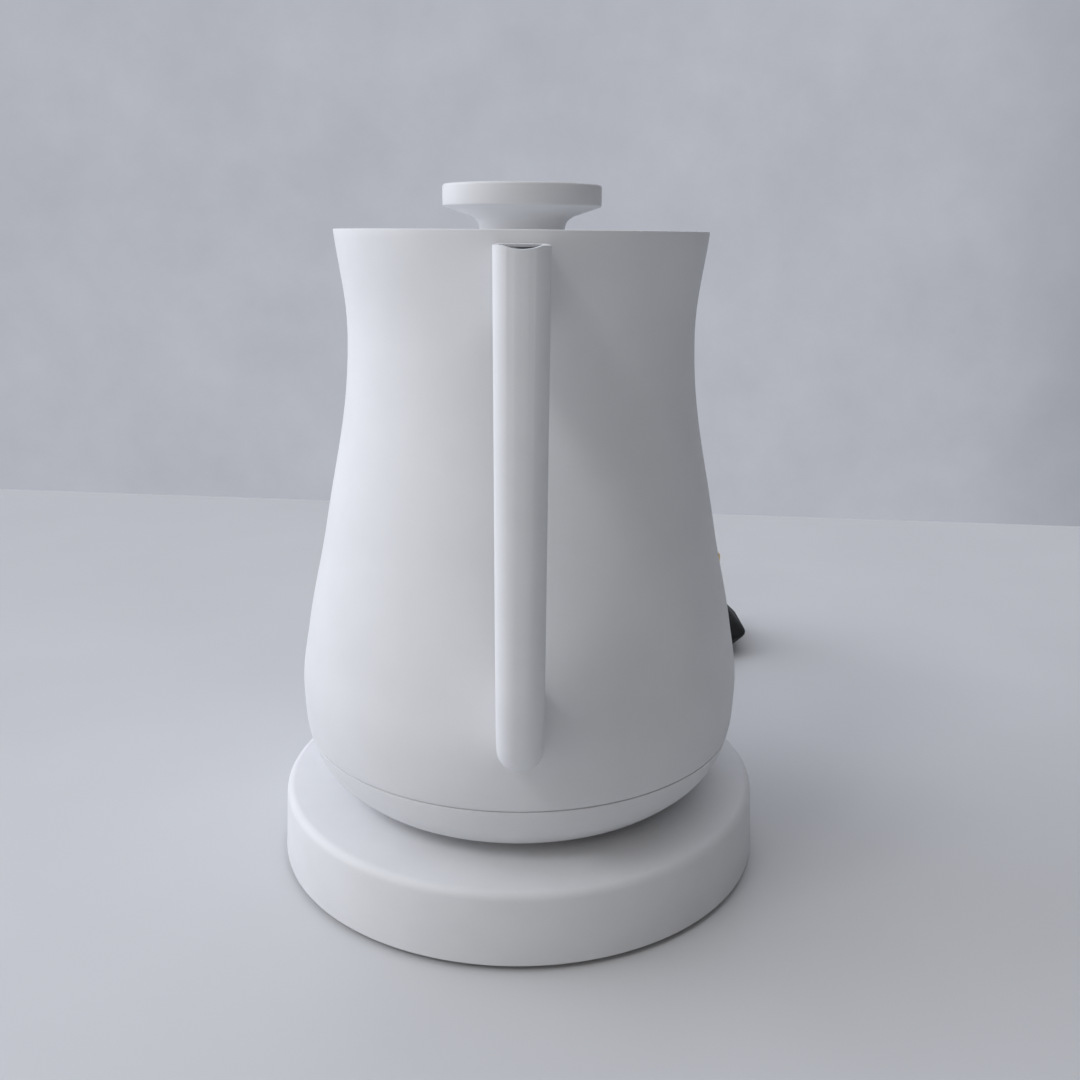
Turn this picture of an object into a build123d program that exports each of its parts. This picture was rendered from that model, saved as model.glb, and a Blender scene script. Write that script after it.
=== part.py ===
from build123d import *
import os
from math import cos, pi, radians, sin, tan

# Electric gooseneck kettle on a cordless power base. Millimetres, +Z up.
# The origin is on the table, under the axis that the kettle and its base share.
# The spout points along +Y and the handle along -Y.

# ---- clearances -------------------------------------------------------------
FIT = 0.05             # parts that seat against each other in one body
RUN = 0.05             # radial play of a pin in its hole
GAP = 0.3              # open joint between neighbouring mouldings

# ---- power base -------------------------------------------------------------
BASE_R = 71.0          # at the wall's bottom edge
BASE_DRAFT = 1.2       # how far the wall leans in
BASE_TOP_Z = 21.5
BASE_EDGE_Z = 1.5      # the wall's bottom edge over the table
BASE_WALL = 2.2
SHOULDER = 2.4         # rounding between wall and top
PLATE_T = 2.0          # bottom plate
FOOT_IN, FOOT_OUT = 59.0, 65.0
FOOT_SINK = 1.0        # depth of the foot's groove in the plate
BASE_SCREW_R = 48.0    # circle of the three bottom screws
SCREW_R = 1.4
HEAD_R, HEAD_T = 2.8, 1.2
SMALL_HEAD_R = 2.4     # heads inside the base and under the kettle
SLOT_HALF = 0.3        # half the width of a driver slot

# ---- cordless connector -----------------------------------------------------
POST_R, POST_TOP = 15.5, 31.5
FLANGE_R, FLANGE_T = 27.0, 2.0
GROOVE_IN, GROOVE_OUT, GROOVE_Z = 9.0, 13.0, 23.0
WELL_R, WELL_Z = 6.0, 24.0
PIN_R = 2.0
CONTACT_T = 0.4
TONGUE_IN, TONGUE_OUT = 10.3, 11.9
CONNECTOR_SCREW_R = 22.5

# ---- kettle body ------------------------------------------------------------
HEEL_R, HEEL_Z = 49.5, 23.4
BELLY_R, BELLY_Z = 63.4, 52.0
WAIST_R, WAIST_Z = 47.3, 151.0
RIM_R, RIM_Z = 50.05, 179.0
SEAM_Z = 39.8          # joint between the steel body and the bottom cover
BODY_WALL = 0.8
COVER_WALL = 2.0
FLOOR_Z = 62.0         # wetted face of the heater plate
FLOOR_T = 1.0
SPREADER_T = 3.0
ELEMENT_R, ELEMENT_TUBE_R = 30.0, 3.2
STUD_R, STUD_CIRCLE = 3.0, 42.0
CONTROL_R, CONTROL_TOP = 24.0, 40.0
CONTROL_HOLE_CIRCLE = 20.2
COVER_BOSS_TOP = 31.0
BIMETAL_X, BIMETAL_R, BIMETAL_T = 10.5, 7.5, 0.6
STEAM_Z, STEAM_HOLE_R = 166.0, 3.0
WIRE_Z, WIRE_HOLE_R = 58.8, 1.9
REST_RIB_R = 46.0      # rib under the cover that stands on the base
REST_RIB_T = 2.4

# ---- spout ------------------------------------------------------------------
SPOUT_ROOT_R, SPOUT_TIP_R = 12.5, 5.2
SPOUT_WALL = 0.8
SPOUT_ROOT_Z = 76.0
SPOUT_RISE_Y = 99.0    # where the neck turns up
SPOUT_LEAN = 12.0      # how far the neck leans out as it rises
SPOUT_TIP_Y, SPOUT_TIP_Z = 152.0, 175.5
SPOUT_LOW_BEND, SPOUT_HIGH_BEND = 34.0, 27.0
SPOUT_RISE = 11.0      # climb of the root before the neck turns up
SPOUT_HOLE_R = 9.6     # hole in the body behind the spout
STRAINER_Y, STRAINER_T = 62.6, 0.6
STRAINER_HOLE_R = 0.9

# ---- handle -----------------------------------------------------------------
HANDLE_W = 10.8
HANDLE_TOP_Z, HANDLE_TOP_Y = 176.0, -104.0
ARM_T = 18.0           # height of the top arm
GRIP_D = 18.0          # depth of the grip, front to back
NOSE_R = 4.9           # rounding of the outer long edges
PALM_R = 3.4           # rounding of the long edges towards the body
HANDLE_WALL = 2.2
STRIP_T = 3.0          # cover strip on the inner side
CAVITY_W = 6.4
POCKET_W = 8.2         # wider pocket for the switch in the arm
SKIN_T = 1.6           # skin over the pocket
GRIP_LOW_Y, GRIP_LOW_Z = -90.0, 78.0
HEEL_LOW_Z = 50.5      # where the handle's underside meets the body
TAB_T = 2.4            # welded tabs that the handle is screwed to
UPPER_TAB_Z, LOWER_TAB_Z = 171.3, 62.5
UPPER_SCREW_Y, LOWER_SCREW_Y = -63.0, -68.0
LOWER_HEAD_Z = 74.2
HANDLE_SCREW_R, HANDLE_HEAD_R = 1.2, 2.2

# ---- thumb switch -----------------------------------------------------------
ROCKER_Y = -84.0
ROCKER_L, ROCKER_W = 20.0, 8.0
ROCKER_PROUD = 0.1
DISH_R, DISH_DEPTH, DISH_L = 10.4, 0.7, 22.0    # thumb dish behind the rocker
CROWN_R = 110.0        # arch of the rocker, end to end
PIVOT_Z = 173.3
PIVOT_R = 0.6
ROCKER_GAP = 0.45

# ---- lid --------------------------------------------------------------------
LID_Z, LID_T = 172.2, 1.0
LID_GAP = 0.3
VENT_R, VENT_Y = 1.3, -32.0
CUP_R, CUP_BOTTOM_Z, CUP_WALL = 42.0, 163.0, 0.6
GASKET_T = 2.4
KNOB_R, KNOB_TOP_Z, KNOB_RIM_T = 21.2, 190.7, 5.5
NECK_R = 11.3
WASHER_T = 0.5

# ---- cord -------------------------------------------------------------------
CORD_D = 6.8
EXIT_ANGLE = 118.0     # around the base, counted from +X towards +Y
EXIT_Z = 7.0
RELIEF_OUT = BASE_R + 24.0    # radius at which the strain relief ends
CORD_START = RELIEF_OUT - 2.0
CLAMP_W = 6.0
COIL_X, COIL_Y = -12.0, BASE_R + 53.0
COIL_MEAN_R = 36.0
TIE_W, TIE_T = 10.0, 0.8
TIE_ANGLE = 250.0      # around the coil, counted from +X
PLUG_X, PLUG_Y = 78.0, COIL_Y + 38.5
PLUG_L, PLUG_W, PLUG_CORNER_R = 46.0, 46.0, 18.0
PLUG_MID_Z, PLUG_TOP_Z = 8.5, 19.0
PLUG_FOOT_IN, PLUG_FACE_IN = 6.0, 9.5
PLUG_NECK_L = 20.0
PLUG_PIN_PITCH = 22.2
PIN_LOW_Z = 10.0       # lower ends of the plug's pins inside it

# ---- heights and radii that follow from these --------------------------------
BASE_TOP_R = BASE_R - BASE_DRAFT
PLATE_TOP_Z = BASE_EDGE_Z + PLATE_T
FLANGE_Z = BASE_TOP_Z - BASE_WALL - 2.2
LEG_LOW_Z = FLANGE_Z - FLANGE_T - 4.0
WALL_AT_EXIT = BASE_R - BASE_DRAFT * EXIT_Z / BASE_TOP_Z
RELIEF_R = CORD_D / 2 + 1.8
RELIEF_FLANGE_R = RELIEF_R + 1.2
CLAMP_AT = WALL_AT_EXIT - 14.0
CLAMP_LOW_Z = EXIT_Z - CORD_D / 2 + 0.4
CLAMP_TOP_Z = EXIT_Z + CORD_D / 2 + 1.6
COIL_SECTION_W = 2 * CORD_D + 0.4
COIL_LOW_Z = 0.1
COIL_TOP_Z = 2 * CORD_D + 0.2
COVER_TOP_Z = SEAM_Z - GAP / 2
SHELL_LOW_Z = SEAM_Z + GAP / 2
FLOOR_LOW_Z = FLOOR_Z - FLOOR_T
SPREADER_LOW_Z = FLOOR_LOW_Z - FIT - SPREADER_T
ELEMENT_Z = SPREADER_LOW_Z - FIT - ELEMENT_TUBE_R
CONTROL_LOW_Z = BASE_TOP_Z + 3.1
SOCKET_LOW_Z, SOCKET_TOP_Z = POST_TOP + 0.9, POST_TOP + 3.5
SOCKET_R = POST_R + 0.9
TUBE_IN = PIN_R + 1.1
BIMETAL_LOW_Z = SPREADER_LOW_Z - BIMETAL_T - FIT
SPOUT_START_Y = BELLY_R - 16.0
ARM_LOW_Z = HANDLE_TOP_Z - ARM_T
POCKET_TOP_Z = HANDLE_TOP_Z - SKIN_T
HOUSING_Y0, HOUSING_Y1 = ROCKER_Y - 11.5, ROCKER_Y + 11.5
HOUSING_Z0, HOUSING_Z1 = ARM_LOW_Z + STRIP_T + 1.2, PIVOT_Z - 1.0
CAP_LOW_Z = PIVOT_Z + 1.6
LID_TOP_Z = LID_Z + LID_T


# ---- shape helpers ----------------------------------------------------------
def cylinder(radius, low, high, x=0.0, y=0.0):
    """Upright cylinder between two heights."""
    low_end = (Align.CENTER, Align.CENTER, Align.MIN)
    return Pos(x, y, low) * Cylinder(radius, high - low, align=low_end)


def ring(inner, outer, low, high, x=0.0, y=0.0):
    return cylinder(outer, low, high, x, y) - cylinder(inner, low - 1, high + 1, x, y)


def block(x0, x1, y0, y1, z0, z1):
    """Box between two corners."""
    centre = Pos((x0 + x1) / 2, (y0 + y1) / 2, (z0 + z1) / 2)
    return centre * Box(abs(x1 - x0), abs(y1 - y0), abs(z1 - z0))


def rod_y(radius, y0, y1, x, z):
    """Cylinder along Y."""
    return Pos(x, (y0 + y1) / 2, z) * Rot(90, 0, 0) * Cylinder(radius, abs(y1 - y0))


def rod_x(radius, x0, x1, y, z):
    """Cylinder along X."""
    return Pos((x0 + x1) / 2, y, z) * Rot(0, 90, 0) * Cylinder(radius, abs(x1 - x0))


def half_section(points, rounds=()):
    """Face of (radius, height) points; rounds lists (radius, height, fillet) of its round corners."""
    face = Face(Wire.make_polygon([Vector(r, 0, z) for r, z in points], close=True))
    for r, z, fillet_radius in rounds:
        corner = face.vertices().sort_by_distance(Vector(r, 0, z))[0]
        face = face.fillet_2d(fillet_radius, [corner])
    return face


def lathe(points, rounds=()):
    return revolve(half_section(points, rounds), Axis.Z)


def on_circle(radius, count, start=90.0):
    """Points evenly spread on a circle about the axis."""
    angles = [radians(start + 360.0 * i / count) for i in range(count)]
    return [(radius * cos(a), radius * sin(a)) for a in angles]


def group(shapes):
    """Several separate solids kept as one node."""
    return Compound([solid for shape in shapes for solid in shape.solids()])


def screw_up(x, y, head_low, head_t, tip, head_r=HEAD_R, shank_r=SCREW_R):
    """Screw driven upwards, with a cross-head recess."""
    head_top = head_low + head_t
    body = cylinder(head_r, head_low, head_top, x, y) + cylinder(shank_r, head_top, tip, x, y)
    reach, depth = head_r * 0.6, head_low + head_t * 0.5
    slot = block(x - reach, x + reach, y - SLOT_HALF, y + SLOT_HALF, head_low - 1, depth)
    cross = block(x - SLOT_HALF, x + SLOT_HALF, y - reach, y + reach, head_low - 1, depth)
    return body - slot - cross


# ---- kettle body outline ----------------------------------------------------
def outline(shift=0.0):
    """Side line of the body from heel to rim, moved outwards by shift."""
    points = [
        (HEEL_R, HEEL_Z),
        (BELLY_R - 9.2, HEEL_Z + 3.0),
        (BELLY_R - 3.2, HEEL_Z + 10.1),
        (BELLY_R, BELLY_Z),
        (BELLY_R - 2.2, BELLY_Z + 18.0),
        (BELLY_R - 8.4, BELLY_Z + 48.0),
        (WAIST_R, WAIST_Z),
        (RIM_R, RIM_Z),
    ]
    return Spline(*[(r + shift, 0, z) for r, z in points])


def outline_face(shift=0.0):
    """Half section of the full form inside the moved side line."""
    side = outline(shift)
    top, bottom = side @ 1, side @ 0
    rest = Polyline(top, (0, 0, top.Z), (0, 0, bottom.Z), bottom)
    return make_face([side, rest])


def height_band(low, high):
    return half_section([(0, low), (2 * BELLY_R, low), (2 * BELLY_R, high), (0, high)])


def body_radius(z):
    """Outer radius of the body at a height."""
    side = outline()
    low, high = 0.0, 1.0
    for _ in range(30):
        middle = (low + high) / 2
        if (side @ middle).Z < z:
            low = middle
        else:
            high = middle
    return (side @ low).X


def inner_radius(z):
    return body_radius(z) - BODY_WALL


def body_form(shift):
    """Solid form of the body, grown by shift, to trim what joins it."""
    return revolve(outline_face(shift), Axis.Z)


# ---- power base -------------------------------------------------------------
def exit_frame():
    """Place on the axis of the cord's exit: X outwards, at the exit's height."""
    return Pos(0, 0, EXIT_Z) * Rot(0, 0, EXIT_ANGLE)


def along_exit(radius, near, far):
    return exit_frame() * Pos((near + far) / 2, 0, 0) * Rot(0, 90, 0) * Cylinder(radius, far - near)


def base_top_shell():
    hole = POST_R + GAP
    inside = BASE_WALL
    shell = lathe(
        [
            (hole, BASE_TOP_Z),
            (BASE_TOP_R, BASE_TOP_Z),
            (BASE_R, BASE_EDGE_Z),
            (BASE_R - inside, BASE_EDGE_Z),
            (BASE_TOP_R - inside, BASE_TOP_Z - inside),
            (hole, BASE_TOP_Z - inside),
        ],
        [(BASE_TOP_R, BASE_TOP_Z, SHOULDER), (BASE_TOP_R - inside, BASE_TOP_Z - inside, SHOULDER / 2)],
    )
    for x, y in on_circle(BASE_SCREW_R, 3):
        shell += cylinder(SCREW_R * 2.5, PLATE_TOP_Z + FIT, BASE_TOP_Z - inside / 2, x, y)
        shell -= cylinder(SCREW_R + FIT, PLATE_TOP_Z - 1, BASE_TOP_Z - inside - 1, x, y)
    for x, y in on_circle(CONNECTOR_SCREW_R, 3, 30):
        shell += cylinder(SCREW_R * 2.2, FLANGE_Z + FIT, BASE_TOP_Z - inside / 2, x, y)
        shell -= cylinder(SCREW_R + FIT, FLANGE_Z - 1, BASE_TOP_Z - inside / 2, x, y)
    return shell - along_exit(RELIEF_R + FIT, BASE_R - 8, BASE_R + 8)


def base_bottom_plate():
    edge = BASE_R - BASE_WALL - GAP
    plate = cylinder(edge, BASE_EDGE_Z, PLATE_TOP_Z)
    plate -= ring(FOOT_IN, FOOT_OUT, BASE_EDGE_Z - 1, BASE_EDGE_Z + FOOT_SINK)
    plate += ring(BASE_SCREW_R - 14, BASE_SCREW_R - 12, PLATE_TOP_Z - 1, PLATE_TOP_Z + 2)
    for x, y in on_circle(BASE_SCREW_R, 3):
        plate -= cylinder(SCREW_R + RUN, 0, PLATE_TOP_Z + 1, x, y)
        plate -= cylinder(HEAD_R + GAP, 0, BASE_EDGE_Z + HEAD_T, x, y)
    plate -= along_exit(RELIEF_FLANGE_R + GAP, WALL_AT_EXIT - BASE_WALL - 3, BASE_R)
    for x, y in clamp_screw_places():
        plate += cylinder(SCREW_R * 2, PLATE_TOP_Z - 1, CLAMP_LOW_Z - FIT, x, y)
        plate -= cylinder(SCREW_R + FIT, PLATE_TOP_Z - 1, CLAMP_LOW_Z + 1, x, y)
    return plate


def foot_ring():
    low_edges = 0.6
    top = BASE_EDGE_Z + FOOT_SINK - FIT
    inner, outer = FOOT_IN + FIT, FOOT_OUT - FIT
    return lathe(
        [(inner, 0), (outer, 0), (outer, top), (inner, top)],
        [(inner, 0, low_edges), (outer, 0, low_edges)],
    )


def base_screws():
    head_low = BASE_EDGE_Z + FIT
    places = on_circle(BASE_SCREW_R, 3)
    return group([screw_up(x, y, head_low, HEAD_T - 2 * FIT, BASE_TOP_Z - BASE_WALL - 2) for x, y in places])


def connector_post():
    post = lathe(
        [
            (0, FLANGE_Z - FLANGE_T),
            (FLANGE_R, FLANGE_Z - FLANGE_T),
            (FLANGE_R, FLANGE_Z),
            (POST_R, FLANGE_Z),
            (POST_R, POST_TOP),
            (GROOVE_OUT, POST_TOP),
            (GROOVE_OUT, GROOVE_Z),
            (GROOVE_IN, GROOVE_Z),
            (GROOVE_IN, POST_TOP),
            (WELL_R, POST_TOP),
            (WELL_R, WELL_Z),
            (0, WELL_Z),
        ],
        [(POST_R, POST_TOP, 1.0), (GROOVE_IN, POST_TOP, 0.6), (WELL_R, POST_TOP, 0.6)],
    )
    post -= cylinder(PIN_R + FIT, 0, WELL_Z + 1)
    post -= contact_leg(GROOVE_IN, 1, FIT)
    post -= contact_leg(GROOVE_OUT - CONTACT_T, -1, FIT)
    for x, y in on_circle(CONNECTOR_SCREW_R, 3, 30):
        post -= cylinder(SCREW_R + RUN, 0, FLANGE_Z + 1, x, y)
    return post


def contact_leg(inner, side, grow=0.0):
    """Flat leg under a ring contact, through the floor of the post."""
    half = 1.5 + grow
    leg = block(inner - grow, inner + CONTACT_T + grow, -half, half, LEG_LOW_Z - grow, GROOVE_Z + 1)
    return Rot(0, 0, 0 if side > 0 else 180) * leg


def contact_pin():
    top = POST_TOP - 2.0
    return lathe([(0, LEG_LOW_Z), (PIN_R, LEG_LOW_Z), (PIN_R, top), (0, top)], [(PIN_R, top, 1.2)])


def contact_ring_neutral():
    inner = GROOVE_IN + FIT
    wall = ring(inner, inner + CONTACT_T, GROOVE_Z + FIT, POST_TOP - 2.5)
    return wall + contact_leg(inner, 1) - cylinder(inner, GROOVE_Z + FIT, POST_TOP)


def contact_ring_earth():
    outer = GROOVE_OUT - FIT
    wall = ring(outer - CONTACT_T, outer, GROOVE_Z + FIT, POST_TOP - 1.0)
    return wall + contact_leg(outer - CONTACT_T, -1)


def connector_screws():
    head_low = FLANGE_Z - FLANGE_T - FIT - HEAD_T
    places = on_circle(CONNECTOR_SCREW_R, 3, 30)
    tip = BASE_TOP_Z - BASE_WALL / 2 - 0.3
    return group([screw_up(x, y, head_low, HEAD_T, tip, SMALL_HEAD_R) for x, y in places])


def connector_shutter():
    """Loose ring at the bottom of the groove, turned by the kettle's tongue."""
    side = CONTACT_T + 0.4
    low = GROOVE_Z + GAP
    return ring(GROOVE_IN + FIT + side, GROOVE_OUT - FIT - side, low, low + 1.0)


def clamp_screw_places():
    """Two screws beside the cord, inside the base."""
    across = CORD_D / 2 + SCREW_R + 2.2
    a = radians(EXIT_ANGLE)
    x, y = CLAMP_AT * cos(a), CLAMP_AT * sin(a)
    return [(x - side * across * sin(a), y + side * across * cos(a)) for side in (-1, 1)]


def cord_clamp():
    """Arched bar that presses the cord against the plate."""
    length = CORD_D + 4 * SCREW_R + 7.2
    middle_z = (CLAMP_LOW_Z + CLAMP_TOP_Z) / 2 - EXIT_Z
    bar = exit_frame() * Pos(CLAMP_AT, 0, middle_z) * Box(CLAMP_W, length, CLAMP_TOP_Z - CLAMP_LOW_Z)
    bar -= along_exit(CORD_D / 2 + FIT, CLAMP_AT - CLAMP_W, CLAMP_AT + CLAMP_W)
    bar -= exit_frame() * Pos(CLAMP_AT, 0, -CORD_D / 2) * Box(2 * CLAMP_W, CORD_D + 2 * FIT, CORD_D)
    for x, y in clamp_screw_places():
        bar -= cylinder(SCREW_R + RUN, 0, BASE_TOP_Z, x, y)
    return bar


def clamp_screws():
    """Screws driven downwards into the plate's posts."""
    head_low = CLAMP_TOP_Z + FIT
    slot_reach = SMALL_HEAD_R * 2 / 3
    screws = []
    for x, y in clamp_screw_places():
        head = cylinder(SMALL_HEAD_R, head_low, head_low + HEAD_T, x, y)
        y0, y1 = y - SLOT_HALF, y + SLOT_HALF
        slot = block(x - slot_reach, x + slot_reach, y0, y1, head_low + HEAD_T / 2, head_low + HEAD_T + 1)
        screws.append(head + cylinder(SCREW_R, PLATE_TOP_Z + FIT, head_low, x, y) - slot)
    return group(screws)


def strain_relief():
    """Tapered sleeve, with a flange behind the base's wall and one in front."""
    inside = WALL_AT_EXIT - BASE_WALL - 2.5
    behind = WALL_AT_EXIT - BASE_WALL - 1.0
    tip_r = CORD_D / 2 + 0.7
    sleeve = half_section(
        [(0, inside), (RELIEF_R, inside), (RELIEF_R, WALL_AT_EXIT + 2), (tip_r, RELIEF_OUT), (0, RELIEF_OUT)],
        [(tip_r, RELIEF_OUT, 0.5)],
    )
    body = exit_frame() * Rot(0, 90, 0) * revolve(sleeve, Axis.Z)
    body += along_exit(RELIEF_FLANGE_R, inside, behind)
    body -= along_exit(CORD_D / 2 + FIT, inside - 1, RELIEF_OUT + 1)
    for i in range(4):
        place = WALL_AT_EXIT + 6 + 4.2 * i
        for side in (-1, 1):
            notch = exit_frame() * Pos(place, side * RELIEF_R, 0) * Box(1.6, 3.0, 2 * RELIEF_R)
            body -= notch
    return body


def base_leads():
    """The cord's end inside the base, split into three wires that run to the contacts."""
    a = radians(EXIT_ANGLE)
    end = WALL_AT_EXIT - 22.0
    leads = along_exit(CORD_D / 2, end, CORD_START - GAP)
    targets = [(3.5, 0.0), (GROOVE_IN + 4.0, -3.0), (-GROOVE_OUT - 3.0, 3.0)]
    for side, (x, y) in zip((-2.0, 0.0, 2.0), targets):
        route = [(end + 1.0, side), (end - 9.0, 2 * side)]
        points = [(r * cos(a) - s * sin(a), r * sin(a) + s * cos(a), EXIT_Z) for r, s in route]
        path = FilletPolyline(*points, (x, y, LEG_LOW_Z - 2.2), radius=4.0)
        leads += sweep(Plane(path @ 0, z_dir=path % 0) * Circle(0.9), path=path)
    return leads


# ---- cord and plug ----------------------------------------------------------
def exit_point(radius, z):
    a = radians(EXIT_ANGLE)
    return (radius * cos(a), radius * sin(a), z)


LEAD_ROUTE = [
    exit_point(CORD_START, EXIT_Z),
    (COIL_X - 38.6, COIL_Y - 28.8, EXIT_Z - 0.7),
    (COIL_X - 43.5, COIL_Y - 15.0, CORD_D / 2 + 0.6),
    (COIL_X - 43.0, COIL_Y, CORD_D / 2 + 0.1),
    (COIL_X - 38.5, COIL_Y + 14.0, CORD_D / 2 + 0.3),
]
TAIL_ROUTE = [
    (COIL_X + 6.0, COIL_Y + 35.6, 1.5 * CORD_D),
    (COIL_X + 20.0, COIL_Y + 35.9, 1.5 * CORD_D),
    (COIL_X + 34.0, PLUG_Y - 1.0, PLUG_MID_Z + 0.8),
    (PLUG_X - PLUG_L / 2 - PLUG_NECK_L + 1.5, PLUG_Y, PLUG_MID_Z),
]


def route_radii(points):
    """Arc radius at each corner: 0.45 of the shorter run over the tangent of half the turn."""
    radii = []
    for a, b, c in zip(points, points[1:], points[2:]):
        before, after = Vector(*b) - Vector(*a), Vector(*c) - Vector(*b)
        half_turn = radians(before.get_angle(after)) / 2
        radii.append(0.45 * min(before.length, after.length) / tan(half_turn))
    return radii


def cord_tube(points, name):
    radii = route_radii(points)
    path = FilletPolyline(*points, radius=radii)
    tube = sweep(Plane(path @ 0, z_dir=path % 0) * Circle(CORD_D / 2), path=path)
    section = pi * CORD_D ** 2 / 4
    print(name, "radii", [round(r, 1) for r in radii], "length", round(path.length, 1))
    print(name, "volume over section times length", round(tube.volume / (section * path.length), 4))
    print(name, "lowest point", round(tube.bounding_box().min.Z, 2))
    return tube


def tie_block(width, grow):
    """Block as large as the coil's section where the tie goes round it, grown on its sides."""
    a = radians(TIE_ANGLE)
    low, high = TIE_T + 0.2 - grow, COIL_TOP_Z + grow
    place = Pos(COIL_X + COIL_MEAN_R * cos(a), COIL_Y + COIL_MEAN_R * sin(a), (low + high) / 2)
    return place * Rot(0, 0, TIE_ANGLE) * Box(COIL_SECTION_W + 2 * grow, width, high - low)


def cord_coil():
    """Outer shape of the wound turns, pinched where the tie holds them."""
    half = COIL_SECTION_W / 2
    coil = ring(COIL_MEAN_R - half, COIL_MEAN_R + half, COIL_LOW_Z, COIL_TOP_Z, COIL_X, COIL_Y)
    coil = fillet(coil.edges().filter_by(GeomType.CIRCLE), CORD_D / 2 - 0.4)
    return coil - (tie_block(TIE_W + 2 * FIT, TIE_T + 0.2) - tie_block(TIE_W + 4, 0))


def cord_tie():
    """Flat strap closed round the coil."""
    return tie_block(TIE_W, TIE_T + 0.1) - tie_block(TIE_W + 4, 0.1)


def plug_section(inset, z):
    outline_2d = RectangleRounded(PLUG_L - 2 * inset, PLUG_W - 2 * inset, PLUG_CORNER_R - inset / 2)
    return Pos(PLUG_X, PLUG_Y, z) * outline_2d


def plug_body():
    foot = plug_section(PLUG_FOOT_IN, 0.0)
    middle = plug_section(0, PLUG_MID_Z)
    face = plug_section(PLUG_FACE_IN, PLUG_TOP_Z)
    body = loft([foot, middle]) + loft([middle, face])
    end = PLUG_X - PLUG_L / 2
    neck_l = PLUG_NECK_L + 4
    neck = half_section([(0, 0), (CORD_D / 2 + 2.4, 0), (CORD_D / 2 + 0.6, neck_l), (0, neck_l)])
    body += Pos(end + 4, PLUG_Y, PLUG_MID_Z) * Rot(0, -90, 0) * revolve(neck, Axis.Z)
    body -= rod_x(CORD_D / 2, end - PLUG_NECK_L - 1, end - PLUG_NECK_L + 1.5, PLUG_Y, PLUG_MID_Z)
    for x, y, length, width, _ in plug_pin_places():
        half_x, half_y = length / 2 + FIT, width / 2 + FIT
        body -= block(x - half_x, x + half_x, y - half_y, y + half_y, PIN_LOW_Z, PLUG_TOP_Z + 1)
    return body


def plug_pin_places():
    """Earth pin near the far edge, line and neutral pins side by side."""
    earth_x = PLUG_X + PLUG_L / 2 - PLUG_FACE_IN - 6.1
    pair_x = earth_x - PLUG_PIN_PITCH
    half = PLUG_PIN_PITCH / 2
    return [
        (earth_x, PLUG_Y, 8.0, 4.0, 22.7),
        (pair_x, PLUG_Y - half, 4.0, 6.35, 17.7),
        (pair_x, PLUG_Y + half, 4.0, 6.35, 17.7),
    ]


def plug_pins():
    pins = []
    for x, y, length, width, reach in plug_pin_places():
        x0, y0 = x - length / 2, y - width / 2
        pin = block(x0, x0 + length, y0, y0 + width, PIN_LOW_Z + FIT, PLUG_TOP_Z + reach)
        pins.append(chamfer(pin.edges().group_by(Axis.Z)[-1], 0.9))
    return group(pins)


# ---- kettle -----------------------------------------------------------------
def body_shell():
    wall = (outline_face() - outline_face(-BODY_WALL)) & height_band(SHELL_LOW_Z, RIM_Z + 1)
    shell = revolve(wall, Axis.Z)
    shell -= rod_y(SPOUT_HOLE_R, 40, BELLY_R + 5, 0, SPOUT_ROOT_Z + 1)
    shell -= rod_y(STEAM_HOLE_R, -RIM_R - 5, -30, 0, STEAM_Z)
    return shell - rod_y(WIRE_HOLE_R, -BELLY_R - 5, -45, 0, WIRE_Z)


def spout_path():
    return FilletPolyline(
        (0, SPOUT_START_Y, SPOUT_ROOT_Z),
        (0, SPOUT_RISE_Y, SPOUT_ROOT_Z + SPOUT_RISE),
        (0, SPOUT_RISE_Y + SPOUT_LEAN, SPOUT_TIP_Z),
        (0, SPOUT_TIP_Y, SPOUT_TIP_Z),
        radius=[SPOUT_LOW_BEND, SPOUT_HIGH_BEND],
    )


def spout_form(shrink, sections=16, taper=2.4):
    path = spout_path()
    circles = []
    for i in range(sections + 1):
        t = i / sections
        radius = SPOUT_TIP_R + (SPOUT_ROOT_R - SPOUT_TIP_R) * (1 - t) ** taper
        circles.append(Plane(path @ t, x_dir=(1, 0, 0), z_dir=path % t) * Circle(radius - shrink))
    return loft(circles)


def spout():
    tube = spout_form(0) - spout_form(SPOUT_WALL) - body_form(FIT)
    lip_cut = Pos(0, SPOUT_TIP_Y + 5, SPOUT_TIP_Z) * Rot(25, 0, 0) * Box(40, 10, 40)
    solids = (tube - lip_cut).solids().sort_by(SortBy.VOLUME)
    return solids[-1]


def strainer():
    """Perforated disc welded across the root of the spout."""
    height = SPOUT_ROOT_Z + SPOUT_RISE * (STRAINER_Y - SPOUT_START_Y) / (SPOUT_RISE_Y - SPOUT_START_Y)
    disc = rod_y(SPOUT_HOLE_R, STRAINER_Y, STRAINER_Y + STRAINER_T, 0, height)
    for pitch_r, count in ((0.0, 1), (2.6, 6), (5.2, 12), (7.8, 18)):
        for x, z in on_circle(pitch_r, count):
            disc -= rod_y(STRAINER_HOLE_R, STRAINER_Y - 1, STRAINER_Y + 2, x, height + z)
    return disc


def heater_plate():
    flange = 4.0
    edge = inner_radius(FLOOR_Z + flange) - FIT
    return lathe(
        [
            (0, FLOOR_LOW_Z),
            (edge, FLOOR_LOW_Z),
            (edge, FLOOR_Z + flange),
            (edge - BODY_WALL, FLOOR_Z + flange),
            (edge - BODY_WALL, FLOOR_Z),
            (0, FLOOR_Z),
        ],
        [(edge, FLOOR_LOW_Z, 1.2), (edge - BODY_WALL, FLOOR_Z, 0.6)],
    )


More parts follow.
